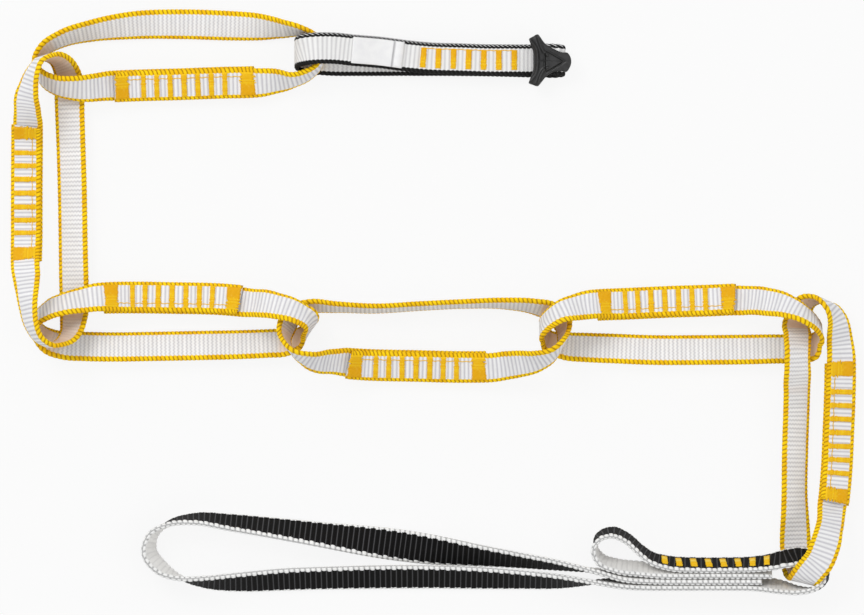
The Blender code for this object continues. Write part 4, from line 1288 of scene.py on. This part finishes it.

# %% Clip loop webbing
# The grey in the gaps between the white ribs is painted shade
CLIP_RIB_WITH_GAP_SHADE = ((0.86, 0.86, 0.85, 1), (0.62, 0.61, 0.62, 1))
CLIP_BEAD = ((0.008, 0.0075, 0.0075, 1), (0.02, 0.02, 0.02, 1))
CLIP_FLECK = (0.80, 0.80, 0.80, 1)
clip_webbing = woven_band("clip_loop_woven_webbing", clip_path, CLIP_WEAVE)
clip_webbing.data.materials.append(woven_material(
    "clip_webbing_weave", CLIP_WEAVE, CLIP_RIB_WITH_GAP_SHADE, CLIP_BEAD, flecks=CLIP_FLECK, sheen=0.02, specular=0.15))
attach(clip_webbing, "clip_loop")
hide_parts("clip_loop_webbing")
print("clip loop webbing:", len(clip_webbing.data.polygons), "faces")

# %% [markdown]
# Seven tacks close both bights of the clip loop. They are neater than those of the rings. The
# thread that joins them runs close to one edge, and belongs to the first tack.

# %% Clip loop tacks
CLIP_TACKS_PIXELS = (468.5, 60)
CLIP_TACK_COUNT = 7
CLIP_TACK_LENGTH = 2.4 * MM
CLIP_TACK_WIDTH = 8.2 * MM
CLIP_TACK_PITCH = 6.2 * MM
CLIP_THREAD_REACH = 3.2 * CLIP_TACK_PITCH
CLIP_THREAD_PLACE = -3.9 * MM
NEAT_RAGGED = 0.06
FIRST_CLIP_SEED = 700
layers = outward_pair(clip_path, clip_path.nearest(*CLIP_TACKS_PIXELS, CLIP_WEAVE.width),
                      clip_path.nearest(*CLIP_TACKS_PIXELS, 0))
clip_thread = thread_material("clip_tack_thread", THREAD_DEEP, THREAD_GOLD)
for number, place in enumerate(spread(CLIP_TACK_COUNT, CLIP_TACK_PITCH), 1):
    pads = tack_pads(layers, place, CLIP_TACK_LENGTH, CLIP_TACK_WIDTH, CLIP_WEAVE.thickness,
                     FIRST_CLIP_SEED + SEEDS_PER_TACK * number, ragged=NEAT_RAGGED)
    if number == 1:
        pads += [joining_thread(layer, middle, CLIP_THREAD_REACH, CLIP_THREAD_PLACE, CLIP_WEAVE.thickness)
                 for layer, middle, _ in layers]
    sewn(f"clip_loop_stitching_{number}", pads, clip_thread, "clip_loop", f"clip_loop_tack_{number}")
print("clip loop tacks:", CLIP_TACK_COUNT)

# %% [markdown]
# ## The tag
#
# A strip of smooth white tape, folded back at its sewn end. The fold is a low rounded roll, and
# the rest lies on the webbing. It is one sheet, swept along the strand that it's sewn to. The
# tape is left bare.

# %% Section of the tag
CAP_POINTS, FLAT_POINTS = 7, 12


def tag_section(width, high, low):
    """Rounded rectangle from low to high, its corners going once round."""
    turn = np.linspace(-math.pi / 2, math.pi / 2, CAP_POINTS)
    side, middle = (high - low) / 2, (high + low) / 2
    cap = np.column_stack([width / 2 - side + side * np.cos(turn), middle + side * np.sin(turn)])
    flat = np.linspace(width / 2 - side, -width / 2 + side, FLAT_POINTS + 2)[1:-1]
    return np.vstack([cap, np.column_stack([flat, np.full(FLAT_POINTS, high)]), cap[::-1] * (-1, 1),
                      np.column_stack([-flat, np.full(FLAT_POINTS, low)])])


print("points round the tag:", 2 * (CAP_POINTS + FLAT_POINTS))

# %% Sheet of the tag, with its folded end
LABEL_PIXELS = (379, 53)
LABEL_LENGTH = 22.5 * MM
LABEL_WIDTH = 10.8 * MM
LABEL_THICKNESS = 0.7 * MM
LABEL_FOLD_LENGTH = 4.3 * MM
LABEL_GAP = 0.1 * MM
LABEL_LIFT = 0.12 * MM
LABEL_ROWS = 90
ROLL_HEIGHT, ROLL_POWER = 1.1 * MM, 0.7
CREASE_DEPTH, CREASE_WIDTH = 0.4 * MM, 0.35 * MM
END_ROUNDING, END_NARROWING, END_SHARE = 0.35 * MM, 0.25 * MM, 0.05
label_low = CLIP_WEAVE.thickness / 2 + LABEL_GAP


def tag_row(place):
    """Section of the tag at a distance from its folded end."""
    roll = max(0.0, math.sin(math.pi * min(1.0, place / LABEL_FOLD_LENGTH))) ** ROLL_POWER
    crease = math.exp(-(((place - LABEL_FOLD_LENGTH) / CREASE_WIDTH) ** 2))
    from_end = min(place, LABEL_LENGTH - place)
    whole = math.sqrt(1 - (1 - min(1.0, max(0.0, from_end / END_ROUNDING))) ** 2)
    height = LABEL_THICKNESS + ROLL_HEIGHT * roll - CREASE_DEPTH * crease
    high = label_low + LABEL_LIFT + height * max(whole, END_SHARE)
    return tag_section(LABEL_WIDTH - END_NARROWING * (1 - whole), high, label_low)


places = np.linspace(0, LABEL_LENGTH, LABEL_ROWS)
label_middle = clip_path.nearest(*LABEL_PIXELS, CLIP_WEAVE.width)
line = clip_path.at(label_middle - LABEL_LENGTH / 2 + places)
sections = np.array([tag_row(place) for place in places])
rows = (line.middle[:, None] + sections[..., :1] * line.across[:, None]
        + sections[..., 1:] * line.face[:, None])
uvs = np.empty((LABEL_ROWS, rows.shape[1] + 1, 2))
uvs[..., 0] = places[:, None] / MM
uvs[..., 1] = np.append(sections[-1, :, 0], sections[-1, 0, 0])[None] / MM
label = link("clip_loop_bare_tag", grid_mesh("clip_loop_bare_tag", rows, uvs))
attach(label, "clip_loop")
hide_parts("clip_loop_label")
print("tag faces:", len(label.data.polygons))

# %% [markdown]
# The tape is woven so finely that it looks like satin. Two crossed rows of fine waves stand
# for its threads in the bump and the roughness, and a soft grey line marks the end of the
# fold, where shade gathers.

# %% Smooth cloth of the tag
CLOTH_WHITES = ((0.80, 0.80, 0.81, 1), (0.85, 0.85, 0.85, 1))
CLOTH_FOLD = (0.50, 0.50, 0.51, 1)
CLOTH_THREADS_PER_MM = 24.0
CLOTH_CLOUDS_PER_MM, CLOTH_CLOUD_LIMITS = 0.25, (0.3, 0.7)
FOLD_LINE_MM = (0.7, 0.1)
CLOTH_ROUGHNESS = (0.60, 0.48)
CLOTH_BUMP, CLOTH_BUMP_STRENGTH = 0.015 * MM, 0.5
material, tree, shader = new_material("tag_cloth", CLOTH_ROUGHNESS[0], sheen=0.12, specular=0.35)
place = band_place(tree)
along, side, _ = split_place(tree, place)
waves = [maths(tree, "SINE", maths(tree, "MULTIPLY", part, CLOTH_THREADS_PER_MM)) for part in (along, side)]
threads = maths(tree, "MULTIPLY", *waves)
cloudy = ramp(tree, noise(tree, place, CLOTH_CLOUDS_PER_MM, 3.0), *CLOTH_CLOUD_LIMITS)
from_fold = maths(tree, "ABSOLUTE", maths(tree, "SUBTRACT", along, LABEL_FOLD_LENGTH / MM))
cloth = blended(tree, cloudy, *CLOTH_WHITES)
cloth = blended(tree, ramp(tree, from_fold, *FOLD_LINE_MM), cloth, CLOTH_FOLD)
tree.links.new(cloth, shader.inputs["Base Color"])
tree.links.new(ramp(tree, threads, -1.0, 1.0, *CLOTH_ROUGHNESS), shader.inputs["Roughness"])
add_bump(tree, shader, threads, CLOTH_BUMP, CLOTH_BUMP_STRENGTH)
label.data.materials.append(material)
print("tag material:", material.name)

# %% [markdown]
# ## The rubber keeper
#
# A moulded keeper holds the eye on a carabiner. From above it has two wings, a hollow edge
# between them, two ridges that curve from the wing tips to a raised rounded triangle, and a
# tongue over the eye. Its top is a height field over a smooth outline, laid out as rings that
# shrink towards a spine. Side walls and a floor close it round both strands. The raised pad is
# left bare.

# %% Outline and levels of the keeper
KEEPER_OUTLINE = [
    (533.2, 60.5), (533, 50), (532.2, 43), (528.9, 39.3), (533, 36.5), (538, 34.4), (540.5, 37.2),
    (543, 41), (546, 44.2), (550, 46.8), (556, 50), (562, 52.3), (567.5, 52.8), (570.4, 56.8),
    (571.3, 62), (569.6, 68), (566.6, 71.8), (560.7, 71.2), (555, 71.8), (550, 73.8), (546, 76.8),
    (543, 80.4), (540.5, 83.6), (538, 86.2), (533, 85), (528.6, 83), (532, 79), (533, 72),
]
KEEPER_SPINE = ((536.5, 60.5), (566, 61.5))
KEEPER_HEIGHT = 0.55 * CLIP_WEAVE.width + CLIP_WEAVE.thickness / 2 + 1.7 * MM
KEEPER_ROOF, KEEPER_TONGUE, KEEPER_FLOOR = 2.2 * MM, 1.3 * MM, 1.0 * MM


def plan(spots):
    return np.array([on_table(*spot) for spot in spots])


def plan_curve(spots, closed):
    """Smooth curve in plan through some spots of the photograph."""
    return smooth_route([(*spot, 0.0) for spot in plan(spots)], closed)[:, :2]


print("keeper height in mm:", round(KEEPER_HEIGHT / MM, 1))

# %% [markdown]
# The top is lowest at its rim, where it is rounded over. Each ridge is a hump along a curve,
# and the pad is a plateau with a shallow moat. Its rounded triangle comes from three straight
# sides: a soft maximum of the distances from them has round corners.

# %% Ridges and raised pad
KEEPER_RIDGES = [
    [(538, 36), (540, 44), (543, 50.5), (547.5, 55.5)],
    [(538, 85), (540, 77.5), (543, 71.5), (547.5, 67.5)],
    [(530, 40.5), (535.5, 47), (537.5, 60.5), (535.5, 74), (530, 81.5)],
]
KEEPER_PAD = (551.5, 61.5)
PAD_INRADIUS, PAD_CORNER = 2.6 * MM, 0.5 * MM
PAD_SIDES = (math.pi, math.pi / 3, -math.pi / 3)
PAD_EDGE = (PAD_INRADIUS - 0.35 * MM, PAD_INRADIUS + 0.1 * MM)
PAD_RISE, PAD_SETBACK = 0.75 * MM, 0.35 * MM
MOAT_DEPTH, MOAT_WIDTH = 0.2 * MM, 0.35 * MM
RIDGE_HEIGHT, RIDGE_WIDTH = 0.85 * MM, 0.75 * MM
TOP_SETBACK, RIM_DROP = 0.60 * MM, 0.70 * MM
RIM_START = 0.84


def soft_triangle(offset):
    """Distance from the middle of a rounded triangle that points along +X, by its sides."""
    sides = [offset[:, 0] * math.cos(turn) + offset[:, 1] * math.sin(turn) for turn in PAD_SIDES]
    return np.log(sum(np.exp(np.clip(side / PAD_CORNER, -40, 40)) for side in sides)) * PAD_CORNER


def keeper_top(points, shares):
    """Height of the keeper's top at plan points, lower towards the rim."""
    rim = np.clip((shares - RIM_START) / (1 - RIM_START), 0, 1)
    height = KEEPER_HEIGHT - TOP_SETBACK - RIM_DROP * (1 - np.sqrt(1 - rim**2))
    for ridge in KEEPER_RIDGES:
        away = np.linalg.norm(points[:, None] - plan_curve(ridge, False)[None], axis=2).min(1)
        height += RIDGE_HEIGHT * np.exp(-((away / RIDGE_WIDTH) ** 2)) * (1 - rim**4)
    reach = soft_triangle(points - plan([KEEPER_PAD]))
    raised = 1 - smooth_step(reach, *PAD_EDGE)
    moat = np.exp(-(((reach - PAD_INRADIUS - MOAT_WIDTH) / MOAT_WIDTH) ** 2))
    under_pad = np.maximum(height, KEEPER_HEIGHT - PAD_SETBACK) + PAD_RISE
    return under_pad * raised + height * (1 - raised) - MOAT_DEPTH * moat * (1 - rim)


print("ridges on the keeper:", len(KEEPER_RIDGES))

# %% [markdown]
# The roof is made like a tent: the outline shrinks in steps towards a short spine, and each
# step is a ring of points at the height of the top. The steps are closest near the rim, where
# the top curves most. A second sheet below it gives the rubber its thickness.

# %% Roof of the keeper
SMALLEST_SHARE, SHARES_TO_RIM, SHARES_OF_RIM = 0.02, 26, 9
# Behind this line, by its pixels across, only the thin tongue is left
TONGUE_PIXELS = (544.0, 546.0)
THINNEST_ROOF = 0.5 * MM
rim_turn = np.linspace(0, math.pi / 2, SHARES_OF_RIM)[1:]
rim_shares = 1 - (1 - RIM_START) * np.cos(rim_turn)
shares = np.concatenate([np.linspace(SMALLEST_SHARE, RIM_START, SHARES_TO_RIM), rim_shares])


def closed_shell(name, top_rows, low_rows):
    """Solid between a top and a low sheet, both given as rings that shrink inwards."""
    rings = np.concatenate([top_rows, low_rows[::-1]])
    looped = np.concatenate([rings, rings[:, :1]], 1)
    return grid_mesh(name, rings, looped[..., :2] / MM)


outline = plan_curve(KEEPER_OUTLINE, True)[::2]
start, end = plan(KEEPER_SPINE)
share = np.clip((outline - start) @ (end - start) / ((end - start) ** 2).sum(), 0, 1)
spine = start + share[:, None] * (end - start)
rings = spine[None] + shares[:, None, None] * (outline - spine)[None]
tops = keeper_top(rings.reshape(-1, 2), np.repeat(shares, len(outline))).reshape(rings.shape[:2])
tongue = smooth_step(rings[..., 0], *(on_table(across, 0)[0] for across in TONGUE_PIXELS))
lows = KEEPER_HEIGHT - KEEPER_ROOF + (KEEPER_ROOF - KEEPER_TONGUE) * tongue
lows = np.minimum(lows, tops - THINNEST_ROOF)
roof = closed_shell("keeper_roof", np.dstack([rings, tops]), np.dstack([rings, lows]))
print("roof faces:", len(roof.polygons))

# %% [markdown]
# Two short walls go down past the edges of the webbing, and a thin floor joins them below, so
# that the keeper goes all the way round both strands. They are hidden from above, and plain.

# %% Walls and floor of the keeper
KEEPER_WALLS = [
    [(533, 42.4), (530.2, 39.6), (534, 37), (537.8, 35.6), (541, 39), (544, 42.6), (539, 42.9)],
    [(533, 78.6), (539, 78.1), (544, 78.6), (541, 82), (537.8, 85.2), (534, 84.2), (530, 82.4)],
]
KEEPER_FLOOR_OUTLINE = [
    (533.6, 60.5), (533.4, 46), (532, 40.6), (538, 37), (543, 41.6), (544, 50),
    (544, 60.5), (544, 71), (543, 79.6), (538, 84), (532, 80.6), (533.4, 75),
]
WALL_OVERLAP = 0.6 * MM
# A rounded edge: size as a share of the outline, and depth below the face
EDGE = [(SMALLEST_SHARE, 0.0), (0.94, 0.0), (0.985, 0.08 * MM), (1.0, 0.3 * MM)]


def rounded_block(name, spots, high):
    """Upright block on the table over a plan outline, its long edges slightly rounded."""
    base = plan_curve(spots, True)[::3]
    middle = base.mean(0)
    sheets = [np.array([np.column_stack([middle + size * (base - middle),
                                         np.full(len(base), level + way * depth)])
                        for size, depth in EDGE]) for level, way in ((high, -1), (0.0, 1))]
    return closed_shell(name, *sheets)


wall_top = KEEPER_HEIGHT - KEEPER_ROOF + WALL_OVERLAP
walls = [rounded_block("keeper_wall", spots, wall_top) for spots in KEEPER_WALLS]
floor = rounded_block("keeper_floor", KEEPER_FLOOR_OUTLINE, KEEPER_FLOOR)
keeper = join_meshes("carabiner_keeper_moulding", [roof, *walls, floor])
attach(keeper, "keeper")
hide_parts("carabiner_keeper")
print("keeper faces:", len(keeper.data.polygons))

# %% [markdown]
# Moulded rubber is black and fairly matt, with a very fine grain. Flat places that face up
# get painted light, a dark grey, while slopes get painted shade and stay black, so the colour
# follows the slope of the surface. That makes the low ridges readable in soft light.

# %% Moulded rubber
RUBBER_BLACKS = ((0.012, 0.012, 0.0125, 1), (0.022, 0.022, 0.023, 1))
# Painted shade for the slopes of the surface
RUBBER_SHADED_SLOPE = (0.004, 0.004, 0.004, 1)
WORN_SPOTS_PER_METRE, WORN_LIMITS = 450.0, (0.35, 0.7)
# Painted light: flats that face up are paler than the slopes of the ridges
LIT_FLAT_LIMITS = (0.80, 0.995)
RUBBER_ROUGHNESS = (0.40, 0.55)
RUBBER_GRAINS_PER_METRE = 2600.0
RUBBER_BUMP, RUBBER_BUMP_STRENGTH = 0.02 * MM, 0.5
material, tree, shader = new_material("keeper_rubber", RUBBER_ROUGHNESS[0])
place = tree.nodes.new("ShaderNodeTexCoord").outputs["Object"]
worn = ramp(tree, noise(tree, place, WORN_SPOTS_PER_METRE, 4.0), *WORN_LIMITS)
upward = split_place(tree, tree.nodes.new("ShaderNodeNewGeometry").outputs["Normal"])[2]
rubber = blended(tree, worn, *RUBBER_BLACKS)
rubber = blended(tree, ramp(tree, upward, *LIT_FLAT_LIMITS), RUBBER_SHADED_SLOPE, rubber)
tree.links.new(rubber, shader.inputs["Base Color"])
tree.links.new(ramp(tree, worn, 0.0, 1.0, *RUBBER_ROUGHNESS), shader.inputs["Roughness"])
add_bump(tree, shader, noise(tree, place, RUBBER_GRAINS_PER_METRE), RUBBER_BUMP, RUBBER_BUMP_STRENGTH)
keeper.data.materials.append(material)
print("keeper material:", material.name)

# %% [markdown]
# ## The harness sling
#
# One strip, black on one side and white on the other, with white beaded edges. It starts at
# its cut end inside the stack, goes round the long loop, forms the eye, goes round the short
# loop and ends inside the stack again. Four layers are sewn together.

# %% Route and weave of the sling
SLING_ROUTE = [
    (762, 577, 0.02, 203), (720, 577, 0.02, 203), (680, 577, 0.02, 203), (650, 576.5, 0.02, 203),
    (625, 575.5, 0.02, 199), (598, 571.5, 0.02, 184), (560, 565.5, 0.02, 167), (518, 560, 0.02, 154),
    (476, 555, 0.02, 138), (434, 550, 0.02, 112), (385, 543.5, 0.02, 80), (330, 536, 0.02, 52),
    (280, 529, 0.02, 38), (230, 522.5, 0.02, 27), (195, 519, 0.02, 16), (168, 524, 0.02, 2),
    (152, 536, 0.02, -14), (149, 552, 0.02, -24), (161, 568, 0.02, -22), (180, 578, 0.02, -2),
    (205, 582, 0.02, 18), (240, 582, 0.02, 34), (285, 579.5, 0.02, 42), (335, 578, 0.02, 44),
    (390, 577, 0.02, 46), (434, 577, 0.02, 45), (476, 578, 0.02, 42), (518, 579.5, 0.02, 34),
    (560, 581.5, 0.02, 22), (598, 582.5, 0.02, -2), (625, 583, 0.02, -18), (650, 583, 0.02, -23),
    (680, 583, 0.02, -23), (720, 583, 0.02, -23), (755, 583.5, 0.02, -23), (780, 587, 0.02, -20),
    (800, 590.5, 0.02, -8), (815, 589, 0.02, 2), (825, 580, 0.02, 6), (823, 568, 0.04, 18),
    (812, 559, 0.21, 30), (798, 557, 0.25, 31), (784, 559, 0.32, 29), (767, 562.5, 0.18, 25),
    (748, 564.5, 0.05, 23), (728, 565, 0.02, 23), (700, 565, 0.02, 23), (668, 563, 0.02, 22),
    (651, 558, 0.02, 18), (639, 549, 0.02, 14), (627, 538.5, 0.02, 14), (612, 532.5, 0.02, 15),
    (598.5, 538, 0.02, 8), (595, 550, 0.02, -8), (601.5, 560.5, 0.02, -18), (616, 566, 0.02, -22),
    (640, 569, 0.02, -23), (665, 571, 0.02, -23), (700, 571, 0.02, -23), (740, 571, 0.02, -23),
    (772, 571, 0.02, -23),
]
SLING_WEAVE = Weave(width=12.9 * MM, thickness=1.9 * MM, pitch=2.2 * MM, rib_relief=0.20 * MM,
                    selvedge=1.9 * MM, bead_relief=0.42 * MM, slant=0.15,
                    two_rows=True, stagger=0.4 * MM, swell=0.24 * MM)
sling_path = leaning_path(SLING_ROUTE, SLING_WEAVE.width, SLING_WEAVE.thickness, False)
print("sling strip in mm:", round(sling_path.arc[-1] / MM))

# %% Harness sling webbing
SLING_RIB = ((0.003, 0.0028, 0.0028, 1), (0.10, 0.10, 0.105, 1))
# On the white inner face and the white beads, the grey in the gaps is painted shade
SLING_INNER_RIB_WITH_GAP_SHADE = ((0.88, 0.87, 0.85, 1), (0.70, 0.69, 0.68, 1))
SLING_BEAD_WITH_GAP_SHADE = ((0.90, 0.90, 0.89, 1), (0.48, 0.48, 0.48, 1))
sling_webbing = woven_band("harness_sling_woven_webbing", sling_path, SLING_WEAVE)
sling_webbing.data.materials.append(woven_material(
    "sling_webbing_weave", SLING_WEAVE, SLING_RIB, SLING_BEAD_WITH_GAP_SHADE, inner_ribs=SLING_INNER_RIB_WITH_GAP_SHADE,
    gap_sharpness=4.0, sheen=0.02))
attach(sling_webbing, "harness_sling")
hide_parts("harness_sling_webbing")
print("sling webbing:", len(sling_webbing.data.polygons), "faces")

# %% [markdown]
# Eight tacks go through all four layers of the sling. The stack stands on its edge, so from
# above they show as short yellow marks on its black face. The needle went in a little askew
# there, and these pads slant.

# %% Harness sling tacks
SLING_TACKS_PIXELS = [(716, 565), (716, 583)]
SLING_TACK_COUNT = 8
SLING_TACK_LENGTH = 2.6 * MM
SLING_TACK_WIDTH = 7.4 * MM
SLING_TACK_PITCH = 6.1 * MM
SLING_TACK_SKEW = -0.10
FIRST_SLING_SEED = 800
outer_middle, inner_middle = (sling_path.nearest(*spot, SLING_WEAVE.width / 2)
                              for spot in SLING_TACKS_PIXELS)
layers = outward_pair(sling_path, outer_middle, inner_middle)
sling_thread = thread_material("sling_tack_thread", THREAD_PALE, THREAD_GOLD)
for number, place in enumerate(spread(SLING_TACK_COUNT, SLING_TACK_PITCH), 1):
    pads = tack_pads(layers, place, SLING_TACK_LENGTH, SLING_TACK_WIDTH, SLING_WEAVE.thickness,
                     FIRST_SLING_SEED + SEEDS_PER_TACK * number, ragged=NEAT_RAGGED, skew=SLING_TACK_SKEW)
    sewn(f"harness_sling_stitching_{number}", pads, sling_thread, "harness_sling",
         f"harness_sling_tack_{number}")
print("harness sling tacks:", SLING_TACK_COUNT)
